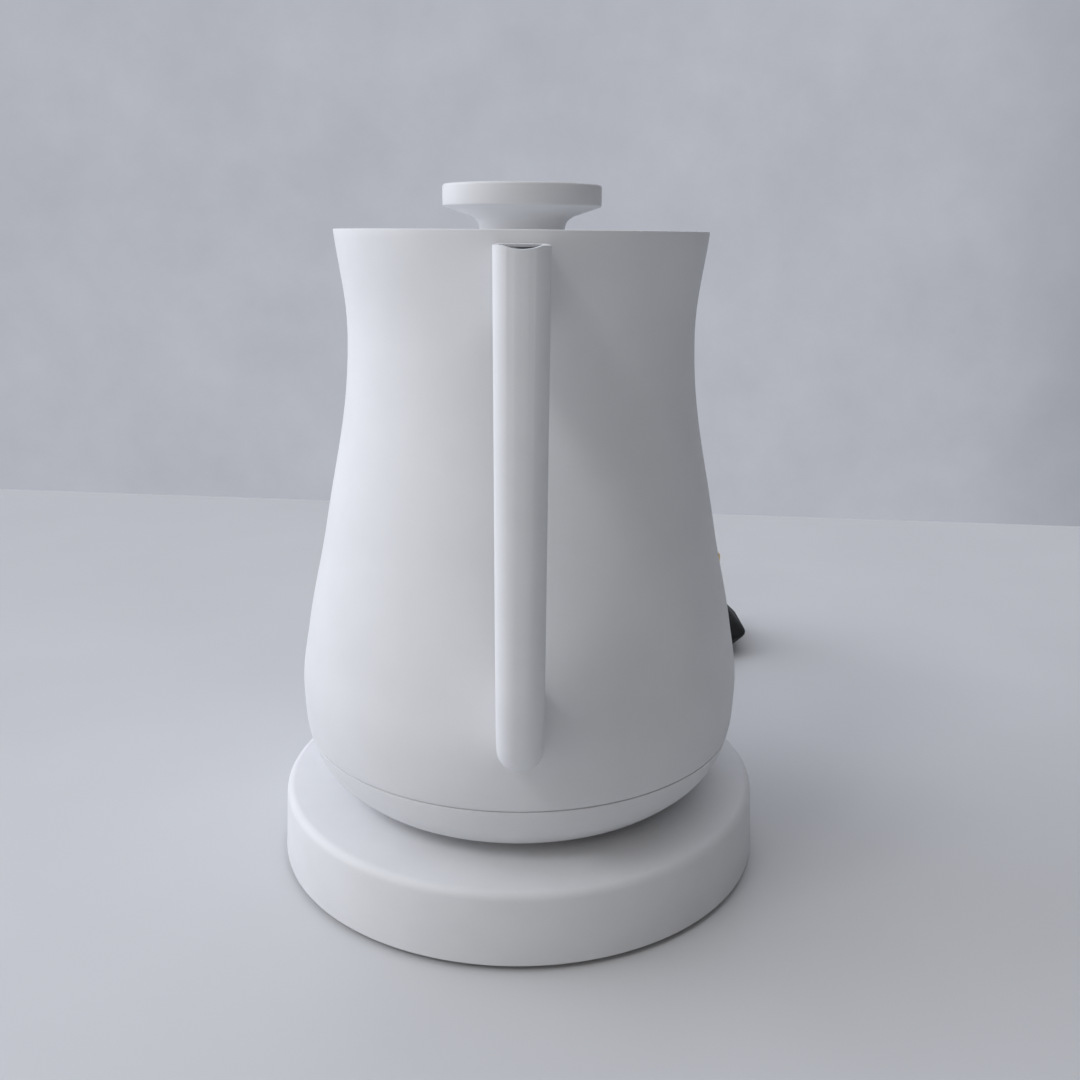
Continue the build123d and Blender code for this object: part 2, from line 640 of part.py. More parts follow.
def heat_spreader():
    disc = cylinder(STUD_CIRCLE + 6, SPREADER_LOW_Z, SPREADER_LOW_Z + SPREADER_T)
    for x, y in on_circle(STUD_CIRCLE, 3, 30):
        disc += cylinder(STUD_R, COVER_BOSS_TOP + FIT, SPREADER_LOW_Z + 1, x, y)
        disc -= cylinder(SCREW_R + FIT, COVER_BOSS_TOP, COVER_BOSS_TOP + 10, x, y)
    for x, y in on_circle(CONTROL_HOLE_CIRCLE, 3, 90):
        disc -= cylinder(SCREW_R + FIT, SPREADER_LOW_Z - 1, SPREADER_LOW_Z + 2, x, y)
    return disc


def heating_element():
    """Tube bent into an open ring and brazed under the heat spreader."""
    section = Plane.XZ * Pos(ELEMENT_R, ELEMENT_Z) * Circle(ELEMENT_TUBE_R)
    return Rot(0, 0, 120) * revolve(section, Axis.Z, 300)


def element_terminals():
    """Cold ends that hang down from the element's two ends."""
    pins = []
    step_z = CONTROL_TOP - 6
    for angle in (116, 64):
        x, y = ELEMENT_R * cos(radians(angle)), ELEMENT_R * sin(radians(angle))
        thick = cylinder(1.6, step_z, ELEMENT_Z + 1.6, x, y)
        pins.append(thick + cylinder(0.9, step_z - 3, step_z, x, y))
    return group(pins)


def control_housing():
    """Thermostat block: a deep cup over the base's post, with pedestals up to the snap discs."""
    socket_top = SOCKET_TOP_Z + FIT
    housing = lathe(
        [
            (SOCKET_R, CONTROL_LOW_Z),
            (CONTROL_R, CONTROL_LOW_Z),
            (CONTROL_R, CONTROL_TOP),
            (0, CONTROL_TOP),
            (0, socket_top),
            (SOCKET_R, socket_top),
        ],
        [(SOCKET_R, CONTROL_LOW_Z, 0.8)],
    )
    for x in (-BIMETAL_X, BIMETAL_X):
        housing += cylinder(BIMETAL_R - 1.5, CONTROL_TOP - 1, BIMETAL_LOW_Z - FIT, x, 0)
    for x, y in on_circle(CONTROL_HOLE_CIRCLE, 3, 90):
        housing += cylinder(3.4, CONTROL_TOP - 1, SPREADER_LOW_Z - FIT, x, y)
        housing -= cylinder(SCREW_R + RUN, 0, SPREADER_LOW_Z + 1, x, y)
        housing -= cylinder(SMALL_HEAD_R + GAP, 0, CONTROL_LOW_Z + 3, x, y)
    return housing


def dry_boil_bimetals():
    top = BIMETAL_LOW_Z + BIMETAL_T
    return group([cylinder(BIMETAL_R, BIMETAL_LOW_Z, top, x, 0) for x in (-BIMETAL_X, BIMETAL_X)])


def kettle_socket():
    """Disc with the ring tongue and the centre tube that plug into the post."""
    tongue_low, tube_low = GROOVE_Z + 1.9, WELL_Z + 1.2
    disc = cylinder(SOCKET_R - FIT, SOCKET_LOW_Z, SOCKET_TOP_Z)
    disc += ring(TONGUE_IN, TONGUE_OUT, tongue_low, SOCKET_LOW_Z + 1)
    disc += ring(TUBE_IN, TUBE_IN + 1.8, tube_low, SOCKET_LOW_Z + 1)
    return disc - cylinder(TUBE_IN, tube_low - 1, SOCKET_TOP_Z + 1)


def socket_contacts():
    """Sleeve for the centre pin, and spring blades on both sides of the tongue."""
    sleeve = ring(PIN_R + 0.25, TUBE_IN - FIT, WELL_Z + 2.0, SOCKET_TOP_Z - 0.5)
    blades = [sleeve]
    for angle in (0, 90, 180, 270):
        inner = block(TONGUE_IN - FIT - 0.35, TONGUE_IN - FIT, -1.5, 1.5, GROOVE_Z + 3, SOCKET_LOW_Z - FIT)
        outer = block(TONGUE_OUT + FIT, TONGUE_OUT + FIT + 0.35, -1.5, 1.5, GROOVE_Z + 3, SOCKET_LOW_Z - FIT)
        blades.append(Rot(0, 0, angle + 20) * outer)
        blades.append(Rot(0, 0, angle + 20) * Pos(-0.15, 0, 0) * inner)
    return group(blades)


def control_screws():
    head_low = CONTROL_LOW_Z + 3 - HEAD_T - FIT
    places = on_circle(CONTROL_HOLE_CIRCLE, 3, 90)
    return group([screw_up(x, y, head_low, HEAD_T, SPREADER_LOW_Z + 1.8, SMALL_HEAD_R) for x, y in places])


def bottom_cover():
    """Moulded cover under the seam, with the rib it stands on."""
    outer = outline_face() & height_band(HEEL_Z, COVER_TOP_Z)
    inner = outline_face(-COVER_WALL) & height_band(HEEL_Z + COVER_WALL, COVER_TOP_Z + 1)
    cover = revolve(outer - inner, Axis.Z)
    cover += ring(REST_RIB_R - REST_RIB_T, REST_RIB_R, BASE_TOP_Z + 0.1, HEEL_Z + 1)
    for x, y in on_circle(STUD_CIRCLE, 3, 30):
        cover += cylinder(STUD_R + 0.6, HEEL_Z + 1, COVER_BOSS_TOP, x, y)
    cover -= cylinder(CONTROL_R + GAP, 0, COVER_TOP_Z)
    for x, y in on_circle(STUD_CIRCLE, 3, 30):
        cover -= cylinder(SCREW_R + RUN, 0, COVER_TOP_Z, x, y)
        cover -= cylinder(SMALL_HEAD_R + GAP, 0, HEEL_Z + 1.8, x, y)
    return cover


def bottom_cover_screws():
    head_low = HEEL_Z + 1.8 - HEAD_T - FIT
    places = on_circle(STUD_CIRCLE, 3, 30)
    return group([screw_up(x, y, head_low, HEAD_T, COVER_BOSS_TOP + 9, SMALL_HEAD_R) for x, y in places])


def bottom_seal():
    outer = inner_radius(SHELL_LOW_Z) - FIT
    return ring(outer - 2.8, outer, COVER_TOP_Z + FIT, COVER_TOP_Z + 1.6)


# ---- handle -----------------------------------------------------------------
def yz(points):
    return [(0, y, z) for y, z in points]


OUTER_LINE = yz([(HANDLE_TOP_Y, HANDLE_TOP_Z), (GRIP_LOW_Y, GRIP_LOW_Z), (-81.0, 60.0), (-52.0, HEEL_LOW_Z)])
INNER_LINE = yz([
    (-40.0, ARM_LOW_Z),
    (HANDLE_TOP_Y + GRIP_D + 1.5, ARM_LOW_Z),
    (GRIP_LOW_Y + GRIP_D - 1.2, GRIP_LOW_Z + 8.0),
    (-64.5, GRIP_LOW_Z - 3.0),
    (-50.0, GRIP_LOW_Z - 4.0),
])


def outer_chain():
    return FilletPolyline(*OUTER_LINE, radius=[42.0, 15.0])


def inner_chain():
    return FilletPolyline(*INNER_LINE, radius=[10.0, 14.0, 8.0])


def handle_side():
    """Side view of the handle with no finger gap, out to inside the body."""
    chain = outer_chain()
    rest = Polyline(chain @ 1, (0, -40, HEEL_LOW_Z), (0, -40, HANDLE_TOP_Z), chain @ 0)
    return make_face([chain, rest])


def finger_gap():
    """The gap between the handle and the body, out to inside the body."""
    chain = inner_chain()
    inside_y = -20
    rest = Polyline(chain @ 1, (0, inside_y, GRIP_LOW_Z - 4.0), (0, inside_y, ARM_LOW_Z), chain @ 0)
    return make_face([chain, rest])


def slab(face, width):
    return extrude(face, amount=width / 2, dir=(1, 0, 0), both=True)


def long_edges(solid, chain):
    """The two edges of a slab that run along one side line."""
    found = []
    for edge in solid.edges():
        middle = edge @ 0.5
        ends_on_side = all(abs(abs((edge @ t).X) - HANDLE_W / 2) < 0.01 for t in (0, 0.5, 1))
        if ends_on_side and chain.distance_to(Vertex(0, middle.Y, middle.Z)) < 0.01:
            found.append(edge)
    return found


def handle_form():
    """Solid handle with a full round nose, soft inner edges and a sharp flat top."""
    solid = slab(handle_side() - finger_gap(), HANDLE_W)
    solid = fillet(long_edges(solid, outer_chain()), NOSE_R)
    solid = fillet(long_edges(solid, inner_chain()), PALM_R)
    return solid - body_form(FIT)


def rocker_slot(grow, low, high):
    """Upright prism of the rocker's rounded outline, long side along Y."""
    face = Pos(0, ROCKER_Y, low) * Rot(0, 0, 90) * SlotOverall(ROCKER_L + 2 * grow, ROCKER_W + 2 * grow)
    return extrude(face, amount=high - low, dir=(0, 0, 1))


def handle_shell():
    hollow = offset(handle_side(), -HANDLE_WALL) - offset(finger_gap(), STRIP_T)
    shell = handle_form() - slab(offset(finger_gap(), STRIP_T + FIT), 2 * HANDLE_W)
    shell -= slab(hollow, CAVITY_W)
    shell -= block(-POCKET_W / 2, POCKET_W / 2, -97.5, -40, ARM_LOW_Z + STRIP_T, POCKET_TOP_Z)
    shell -= rocker_slot(ROCKER_GAP, POCKET_TOP_Z - 1, HANDLE_TOP_Z + 1)
    dish_y = HANDLE_TOP_Y + DISH_L / 2
    dish = Pos(0, dish_y, HANDLE_TOP_Z + DISH_R - DISH_DEPTH) * Rot(90, 0, 0) * Cylinder(DISH_R, DISH_L)
    shell -= dish
    return shell.solids().sort_by(SortBy.VOLUME)[-1]


def handle_cover():
    strip = handle_form() & slab(offset(finger_gap(), STRIP_T), 2 * HANDLE_W)
    for y in (UPPER_SCREW_Y, LOWER_SCREW_Y):
        strip -= cylinder(HANDLE_SCREW_R + RUN, HEEL_LOW_Z, HANDLE_TOP_Z, 0, y)
    strip -= cylinder(HANDLE_HEAD_R + RUN, ARM_LOW_Z - 10, ARM_LOW_Z + 1.4, 0, UPPER_SCREW_Y)
    strip -= cylinder(HANDLE_HEAD_R + RUN, LOWER_HEAD_Z, LOWER_HEAD_Z + 20, 0, LOWER_SCREW_Y)
    return strip.solids().sort_by(SortBy.VOLUME)[-1]


def handle_screws():
    reach = HANDLE_HEAD_R - 0.8
    upper = cylinder(HANDLE_HEAD_R, ARM_LOW_Z + 0.2, ARM_LOW_Z + 1.4 - FIT, 0, UPPER_SCREW_Y)
    upper += cylinder(HANDLE_SCREW_R, ARM_LOW_Z + 1.0, UPPER_TAB_Z + 2.2, 0, UPPER_SCREW_Y)
    lower = cylinder(HANDLE_HEAD_R, LOWER_HEAD_Z + FIT, LOWER_HEAD_Z + 1.2, 0, LOWER_SCREW_Y)
    lower += cylinder(HANDLE_SCREW_R, LOWER_TAB_Z + 0.2, LOWER_HEAD_Z + 0.5, 0, LOWER_SCREW_Y)
    y0, y1 = UPPER_SCREW_Y - SLOT_HALF, UPPER_SCREW_Y + SLOT_HALF
    upper -= block(-reach, reach, y0, y1, ARM_LOW_Z - 1, ARM_LOW_Z + 0.8)
    y0, y1 = LOWER_SCREW_Y - SLOT_HALF, LOWER_SCREW_Y + SLOT_HALF
    lower -= block(-reach, reach, y0, y1, LOWER_HEAD_Z + 0.7, LOWER_HEAD_Z + 3)
    return group([upper, lower])


def bracket(width, y_far, low, screw_y):
    """Steel tab welded to the body, with a tapped hole for the handle's screw."""
    tab = block(-width / 2, width / 2, y_far, -30, low, low + TAB_T)
    tab -= cylinder(HANDLE_SCREW_R + RUN, low - 1, low + TAB_T + 1, 0, screw_y)
    return (tab - body_form(FIT)).solids().sort_by(Axis.Y)[0]


def upper_bracket():
    return bracket(POCKET_W - 0.6, UPPER_SCREW_Y - 4.0, UPPER_TAB_Z, UPPER_SCREW_Y)


def lower_bracket():
    return bracket(CAVITY_W - 0.6, LOWER_SCREW_Y - 5.5, LOWER_TAB_Z, LOWER_SCREW_Y)


def steam_seal():
    """Rubber sleeve in the body's steam hole, with a flange outside."""
    wall_y = -body_radius(STEAM_Z)
    sleeve = rod_y(STEAM_HOLE_R - FIT, wall_y - 3.5, wall_y + 2.5, 0, STEAM_Z)
    sleeve += rod_y(STEAM_HOLE_R + 0.9, wall_y - 2.2, wall_y - 0.7, 0, STEAM_Z)
    return sleeve - rod_y(STEAM_HOLE_R - 1.2, wall_y - 9, wall_y + 9, 0, STEAM_Z)


def steam_bimetal():
    wall_y = -body_radius(STEAM_Z)
    return rod_y(POCKET_W / 2 - 0.3, wall_y - 4.6, wall_y - 4.1, 0, STEAM_Z + 0.3)


def switch_housing():
    """Open box under the rocker, with two ears that hold its pin."""
    half = POCKET_W / 2 - 0.2
    box = block(-half, half, HOUSING_Y0, HOUSING_Y1, HOUSING_Z0, HOUSING_Z1)
    box -= block(-half + 1, half - 1, HOUSING_Y0 + 1, HOUSING_Y1 - 1, HOUSING_Z0 + 1, HOUSING_Z1 + 1)
    for side in (-1, 1):
        y0, y1 = ROCKER_Y - 2.4, ROCKER_Y + 2.4
        ear = block(side * 2.3, side * (half - 0.5), y0, y1, HOUSING_Z1 - 2, PIVOT_Z + 0.95)
        box += ear
    return box - rod_x(PIVOT_R + FIT, -9, 9, ROCKER_Y, PIVOT_Z)


def rocker_pin():
    half = POCKET_W / 2 - 0.7
    return rod_x(PIVOT_R, -half, half, ROCKER_Y, PIVOT_Z)


def switch_rocker():
    """Domed cap on a stem that turns on the pin."""
    top = HANDLE_TOP_Z + ROCKER_PROUD
    cap = rocker_slot(0, CAP_LOW_Z, top + 1) & rod_x(CROWN_R, -ROCKER_W, ROCKER_W, ROCKER_Y, top - CROWN_R)
    rim = [e for e in cap.edges() if e.center().Z > CAP_LOW_Z + 0.3 and e.length > 3]
    cap = fillet(rim, 0.35)
    cap += block(-1.8, 1.8, ROCKER_Y - 2.2, ROCKER_Y + 2.2, PIVOT_Z - 1.4, CAP_LOW_Z + 0.3)
    cap += block(-1.2, 1.2, ROCKER_Y - 6, ROCKER_Y + 6, PIVOT_Z - 2.3, PIVOT_Z - 1.3)
    return cap - rod_x(PIVOT_R + RUN, -9, 9, ROCKER_Y, PIVOT_Z)


def contact_blade():
    """Bent spring strip on the floor of the switch housing."""
    floor_z = HOUSING_Z0 + 1 + FIT
    foot = block(-1.5, 1.5, ROCKER_Y - 9, ROCKER_Y + 3, floor_z, floor_z + 0.4)
    post = block(-1.5, 1.5, ROCKER_Y + 2.6, ROCKER_Y + 3, floor_z, floor_z + 3.4)
    tongue = block(-1.5, 1.5, ROCKER_Y - 7, ROCKER_Y + 3, floor_z + 3.0, floor_z + 3.4)
    return foot + post + tongue


def neon_lamp():
    """Small glass lamp that lights the rocker from below."""
    z = HOUSING_Z0 + 1 + FIT + 1.4
    return rod_y(1.2, ROCKER_Y + 4.0, ROCKER_Y + 10.0, 0, z)


def switch_wires():
    """Two wires down the grip, into the body under the vessel's floor."""
    wires = []
    for side in (-1.3, 1.3):
        route = [
            (side, ROCKER_Y - 4, HOUSING_Z0 - FIT - 0.8),
            (side, ROCKER_Y - 7.5, HOUSING_Z0 - 4),
            (side, (GRIP_LOW_Y + GRIP_D + GRIP_LOW_Y) / 2 - 2.0, GRIP_LOW_Z + 12),
            (side, -75.5, 61.5),
            (side * 0.7, -66.0, WIRE_Z),
            (side * 0.5, -52.0, WIRE_Z),
        ]
        path = FilletPolyline(*route, radius=[2.5, 20.0, 5.0, 5.0])
        wires.append(sweep(Plane(path @ 0, z_dir=path % 0) * Circle(0.6), path=path))
    return group(wires)


# ---- lid --------------------------------------------------------------------
def lid_plate():
    edge = inner_radius(LID_Z) - LID_GAP
    plate = lathe([(0, LID_Z), (edge, LID_Z), (edge, LID_TOP_Z), (0, LID_TOP_Z)], [(edge, LID_TOP_Z, 0.4)])
    plate -= cylinder(SCREW_R + RUN, LID_Z - 1, LID_TOP_Z + 1)
    return plate - cylinder(VENT_R, LID_Z - 1, LID_TOP_Z + 1, 0, VENT_Y)


def lid_cup():
    """Pressed liner that closes the lid from below."""
    top = LID_Z - FIT
    cup = lathe(
        [
            (0, CUP_BOTTOM_Z),
            (CUP_R, CUP_BOTTOM_Z),
            (CUP_R, top),
            (CUP_R - CUP_WALL, top),
            (CUP_R - CUP_WALL, CUP_BOTTOM_Z + CUP_WALL),
            (0, CUP_BOTTOM_Z + CUP_WALL),
        ],
        [(CUP_R, CUP_BOTTOM_Z, 2.0), (CUP_R - CUP_WALL, CUP_BOTTOM_Z + CUP_WALL, 1.4)],
    )
    return cup - cylinder(VENT_R + 1, CUP_BOTTOM_Z - 1, CUP_BOTTOM_Z + 2, 0, VENT_Y)


def lid_gasket():
    """Silicone ring under the plate's edge, with two sealing lips."""
    top = LID_Z - FIT
    low = top - GASKET_T
    lip = inner_radius(low) - LID_GAP
    root = CUP_R + FIT
    return lathe([
        (root, low),
        (root + 2.2, low),
        (lip, low + 0.1),
        (lip, low + 0.7),
        (lip - 1.6, low + 0.9),
        (lip, low + 1.5),
        (lip, low + 2.1),
        (root + 2.2, top),
        (root, top),
    ])


def lid_knob():
    """Flat disc on a trumpet-shaped neck."""
    foot = LID_TOP_Z + WASHER_T + 2 * FIT
    rim_low = KNOB_TOP_Z - KNOB_RIM_T
    neck_top = foot + 4.0
    side = Spline((NECK_R, 0, neck_top), (KNOB_R - 7.2, 0, rim_low - 2.4), tangents=[(0, 0, 1), (3, 0, 1)])
    edges = Polyline(
        side @ 1,
        (KNOB_R, 0, rim_low),
        (KNOB_R, 0, KNOB_TOP_Z),
        (0, 0, KNOB_TOP_Z),
        (0, 0, foot),
        (NECK_R, 0, foot),
        (NECK_R, 0, neck_top),
    )
    face = make_face([side, edges]).face()
    corner = face.vertices().sort_by_distance(Vector(KNOB_R, 0, KNOB_TOP_Z))[0]
    knob = revolve(face.fillet_2d(0.7, [corner]), Axis.Z)
    return knob - cylinder(SCREW_R + FIT, foot - 1, foot + 10)


def knob_screw():
    head_top = LID_Z - FIT
    return screw_up(0, 0, head_top - 1.8, 1.8, LID_TOP_Z + WASHER_T + 9, 3.4)


def knob_washer():
    low = LID_TOP_Z + FIT
    return ring(SCREW_R + RUN, NECK_R - 0.6, low, low + WASHER_T)


# ---- all nodes --------------------------------------------------------------
NODES = {
    "base_top_shell": base_top_shell,
    "base_bottom_plate": base_bottom_plate,
    "foot_ring": foot_ring,
    "base_screws": base_screws,
    "connector_post": connector_post,
    "contact_pin": contact_pin,
    "contact_ring_neutral": contact_ring_neutral,
    "contact_ring_earth": contact_ring_earth,
    "connector_screws": connector_screws,
    "connector_shutter": connector_shutter,
    "cord_clamp": cord_clamp,
    "clamp_screws": clamp_screws,
    "strain_relief": strain_relief,
    "base_leads": base_leads,
    "cord_lead": lambda: cord_tube(LEAD_ROUTE, "cord_lead"),
    "cord_coil": cord_coil,
    "cord_tail": lambda: cord_tube(TAIL_ROUTE, "cord_tail"),
    "cord_tie": cord_tie,
    "plug_body": plug_body,
    "plug_pins": plug_pins,
    "body_shell": body_shell,
    "spout": spout,
    "strainer": strainer,
    "heater_plate": heater_plate,
    "heat_spreader": heat_spreader,
    "heating_element": heating_element,
    "element_terminals": element_terminals,
    "control_housing": control_housing,
    "dry_boil_bimetals": dry_boil_bimetals,
    "kettle_socket": kettle_socket,
    "socket_contacts": socket_contacts,
    "control_screws": control_screws,
    "bottom_cover": bottom_cover,
    "bottom_cover_screws": bottom_cover_screws,
    "bottom_seal": bottom_seal,
    "handle_shell": handle_shell,
    "handle_cover": handle_cover,
    "handle_screws": handle_screws,
    "upper_bracket": upper_bracket,
    "lower_bracket": lower_bracket,
    "steam_seal": steam_seal,
    "steam_bimetal": steam_bimetal,
    "switch_housing": switch_housing,
    "rocker_pin": rocker_pin,
    "switch_rocker": switch_rocker,
    "contact_blade": contact_blade,
    "neon_lamp": neon_lamp,
    "switch_wires": switch_wires,
    "lid_plate": lid_plate,
    "lid_cup": lid_cup,
    "lid_gasket": lid_gasket,
    "lid_knob": lid_knob,
    "knob_screw": knob_screw,
    "knob_washer": knob_washer,
}

os.makedirs("parts", exist_ok=True)
for name, make in NODES.items():
    export_step(make(), f"parts/{name}.step")
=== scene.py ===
from math import cos, pi, radians, sin, tan

import bmesh
import bpy
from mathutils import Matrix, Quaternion, Vector


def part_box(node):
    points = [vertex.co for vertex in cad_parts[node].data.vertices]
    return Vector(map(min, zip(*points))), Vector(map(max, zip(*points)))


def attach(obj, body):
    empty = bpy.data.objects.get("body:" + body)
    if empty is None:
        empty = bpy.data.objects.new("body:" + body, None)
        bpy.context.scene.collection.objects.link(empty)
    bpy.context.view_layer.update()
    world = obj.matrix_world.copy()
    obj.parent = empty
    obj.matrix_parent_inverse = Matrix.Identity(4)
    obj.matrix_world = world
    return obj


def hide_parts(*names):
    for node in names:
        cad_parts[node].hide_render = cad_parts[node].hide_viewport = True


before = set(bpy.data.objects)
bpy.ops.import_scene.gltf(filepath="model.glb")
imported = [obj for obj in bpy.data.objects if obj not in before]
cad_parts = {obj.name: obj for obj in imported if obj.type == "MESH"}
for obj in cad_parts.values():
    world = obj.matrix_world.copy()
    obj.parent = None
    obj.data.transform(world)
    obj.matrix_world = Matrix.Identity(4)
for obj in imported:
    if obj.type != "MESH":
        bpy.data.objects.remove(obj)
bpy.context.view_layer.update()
MM = 0.001


# ---- camera -------------------------------------------------------------------
# A plain lens at rim height, looking down a little along the handle.
# It stands on the handle's side, so the spout is behind the body.
EYE = (0, -0.3022, 0.1776)
heading, dip, roll = radians(1.06), radians(15.71), radians(0.52)
sight = Vector((sin(heading) * cos(dip), cos(heading) * cos(dip), -sin(dip)))
bpy.ops.object.camera_add(location=EYE)
camera = bpy.context.object
camera.rotation_mode = "QUATERNION"
camera.rotation_quaternion = sight.to_track_quat("-Z", "Y") @ Quaternion((0, 0, 1), roll)
camera.data.lens = 36
camera.data.sensor_width = 36
bpy.context.scene.camera = camera


# ---- table top and light ------------------------------------------------------
# A pale laminate table top that ends behind the kettle, at a slight angle.
# One broad soft lamp stands high on the left, in front; the room fills the rest.
def coloured(name, metallic=0.0, roughness=0.5, **shader_values):
    """New material; gives its node tree, shader and the coordinates of the object."""
    material = bpy.data.materials.new(name)
    material.use_nodes = True
    tree = material.node_tree
    shader = tree.nodes["Principled BSDF"]
    shader.inputs["Metallic"].default_value = metallic
    shader.inputs["Roughness"].default_value = roughness
    for socket, value in shader_values.items():
        shader.inputs[socket.replace("_", " ")].default_value = value
    place = tree.nodes.new("ShaderNodeTexCoord").outputs["Object"]
    return material, tree, shader, place


def speckle(tree, place, size, detail=3.0, stretch=(1, 1, 1)):
    """Noise with features of a size in millimetres, drawn out along an axis by stretch."""
    mapping = tree.nodes.new("ShaderNodeMapping")
    mapping.inputs["Scale"].default_value = [1 / s for s in stretch]
    noise = tree.nodes.new("ShaderNodeTexNoise")
    noise.inputs["Scale"].default_value = 1 / (size * MM)
    noise.inputs["Detail"].default_value = detail
    tree.links.new(place, mapping.inputs["Vector"])
    tree.links.new(mapping.outputs["Vector"], noise.inputs["Vector"])
    return noise.outputs["Fac"]


def tint(tree, shader, pattern, dark, light, low=0.3, high=0.7):
    """Base colour that runs from dark to light with a pattern."""
    ramp = tree.nodes.new("ShaderNodeValToRGB")
    ramp.color_ramp.elements[0].position = low
    ramp.color_ramp.elements[0].color = (*dark, 1)
    ramp.color_ramp.elements[1].position = high
    ramp.color_ramp.elements[1].color = (*light, 1)
    tree.links.new(pattern, ramp.inputs["Fac"])
    tree.links.new(ramp.outputs["Color"], shader.inputs["Base Color"])


def sheen_range(tree, shader, pattern, low, high):
    """Roughness that runs between two values with a pattern."""
    spread = tree.nodes.new("ShaderNodeMapRange")
    spread.inputs["From Min"].default_value = 0.3
    spread.inputs["From Max"].default_value = 0.7
    spread.inputs["To Min"].default_value = low
    spread.inputs["To Max"].default_value = high
    tree.links.new(pattern, spread.inputs["Value"])
    tree.links.new(spread.outputs["Result"], shader.inputs["Roughness"])


def relief(tree, shader, pattern, height, strength=1.0, under=None):
    """Surface relief of a height in millimetres; under is a relief it lies on."""
    bump = tree.nodes.new("ShaderNodeBump")
    bump.inputs["Strength"].default_value = strength
    bump.inputs["Distance"].default_value = height * MM
    tree.links.new(pattern, bump.inputs["Height"])
    if under:
        tree.links.new(under, bump.inputs["Normal"])
    tree.links.new(bump.outputs["Normal"], shader.inputs["Normal"])
    return bump.outputs["Normal"]


TABLE_FRONT, TABLE_HALF = -2.2, 2.4
TABLE_BACK, BACK_SLOPE = 0.412, -0.125     # metres; how far the back edge runs off per metre to the right
bpy.ops.object.select_all(action="DESELECT")
bpy.ops.mesh.primitive_plane_add(size=1, location=(0, 0, 0))
table_top = bpy.context.object
table_top.name = "table_top"
table_top.scale = (2 * TABLE_HALF, TABLE_BACK - TABLE_FRONT, 1)
table_top.location = (0, (TABLE_BACK + TABLE_FRONT) / 2, 0)
bpy.ops.object.transform_apply(location=True, rotation=True, scale=True)
for corner in table_top.data.vertices:
    if corner.co.y > 0:
        corner.co.y += BACK_SLOPE * corner.co.x
laminate, tree, shader, place = coloured("pale laminate", roughness=0.42)
tint(tree, shader, speckle(tree, place, 90), (0.66, 0.67, 0.68), (0.69, 0.70, 0.71))
relief(tree, shader, speckle(tree, place, 1.2), 0.02, 0.3)
table_top.data.materials.append(laminate)

world = bpy.data.worlds.new("room light")
bpy.context.scene.world = world
world.use_nodes = True
room = world.node_tree
direction = room.nodes.new("ShaderNodeTexCoord").outputs["Generated"]
split = room.nodes.new("ShaderNodeSeparateXYZ")
room.links.new(direction, split.inputs["Vector"])


def fade(axis, near, far, near_value, far_value):
    """Brightness that changes along an axis of the room between two places."""
    spread = room.nodes.new("ShaderNodeMapRange")
    spread.interpolation_type = "SMOOTHSTEP"
    for socket, value in zip(list(spread.inputs)[1:5], (near, far, near_value, far_value)):
        socket.default_value = value
    room.links.new(split.outputs[axis], spread.inputs["Value"])
    return spread.outputs["Result"]


def joined(operation, a, b):
    """Two brightness values joined by a sum of that kind."""
    both = room.nodes.new("ShaderNodeMath")
    both.operation = operation
    room.links.new(a, both.inputs[0])
    room.links.new(b, both.inputs[1])
    return both.outputs["Value"]


plaster = room.nodes.new("ShaderNodeTexNoise")
plaster.inputs["Scale"].default_value = 11
plaster.inputs["Detail"].default_value = 7
plaster.inputs["Roughness"].default_value = 0.62
room.links.new(direction, plaster.inputs["Vector"])
mottle = room.nodes.new("ShaderNodeMapRange")
mottle.inputs["To Min"].default_value = 0.86
mottle.inputs["To Max"].default_value = 1.14
room.links.new(plaster.outputs["Fac"], mottle.inputs["Value"])
BRIGHT_LEFT, DIM_RIGHT, DIM_FRONT, BRIGHT_TOP = 4.5, 0.12, 0.45, 1.75
WALL_COLOUR, FRONT_COLOUR = (0.440, 0.457, 0.509, 1), (0.480, 0.462, 0.450, 1)
FRONT_FADE = (-0.5, 0.15)
left_glow, right_dimming = fade("X", -0.85, -0.48, BRIGHT_LEFT, 1.0), fade("X", 0.3, 0.8, 1.0, DIM_RIGHT)
brightness = joined("MULTIPLY", left_glow, right_dimming)
brightness = joined("MULTIPLY", brightness, fade("Y", *FRONT_FADE, DIM_FRONT, 1.0))
brightness = joined("MULTIPLY", brightness, fade("Z", 0.25, 0.85, 1.0, BRIGHT_TOP))
brightness = joined("MULTIPLY", brightness, mottle.outputs["Result"])
colour = room.nodes.new("ShaderNodeMixRGB")
colour.inputs["Color1"].default_value = WALL_COLOUR
colour.inputs["Color2"].default_value = FRONT_COLOUR
room.links.new(fade("Y", *FRONT_FADE, 1.0, 0.0), colour.inputs["Fac"])
room.links.new(colour.outputs["Color"], room.nodes["Background"].inputs["Color"])
room.links.new(brightness, room.nodes["Background"].inputs["Strength"])
bpy.context.scene.view_settings.view_transform = "Standard"


def lamp(name, where, aim, size, power, colour):
    """Round lamp at a place, turned to what it lights."""
    bpy.ops.object.light_add(type="AREA", location=where)
    light = bpy.context.object
    light.name = name
    light.data.shape = "DISK"
    light.data.size = size
    light.data.energy = power
    light.data.color = colour
    light.rotation_mode = "QUATERNION"
    light.rotation_quaternion = (Vector(aim) - Vector(where)).to_track_quat("-Z", "Y")


lamp("soft lamp", (-0.85, -0.85, 1.40), (0, 0, 0.06), 0.40, 4.2, (0.96, 0.98, 1.0))


# ---- base housing -------------------------------------------------------------
# Round white top shell of the power base, moulded in fine-textured plastic.
# It sits over the bottom plate and is held by three screws from below.
def pick(piece):
    """Make one piece the only selected and the active one."""
    bpy.ops.object.select_all(action="DESELECT")
    piece.select_set(True)
    bpy.context.view_layer.objects.active = piece


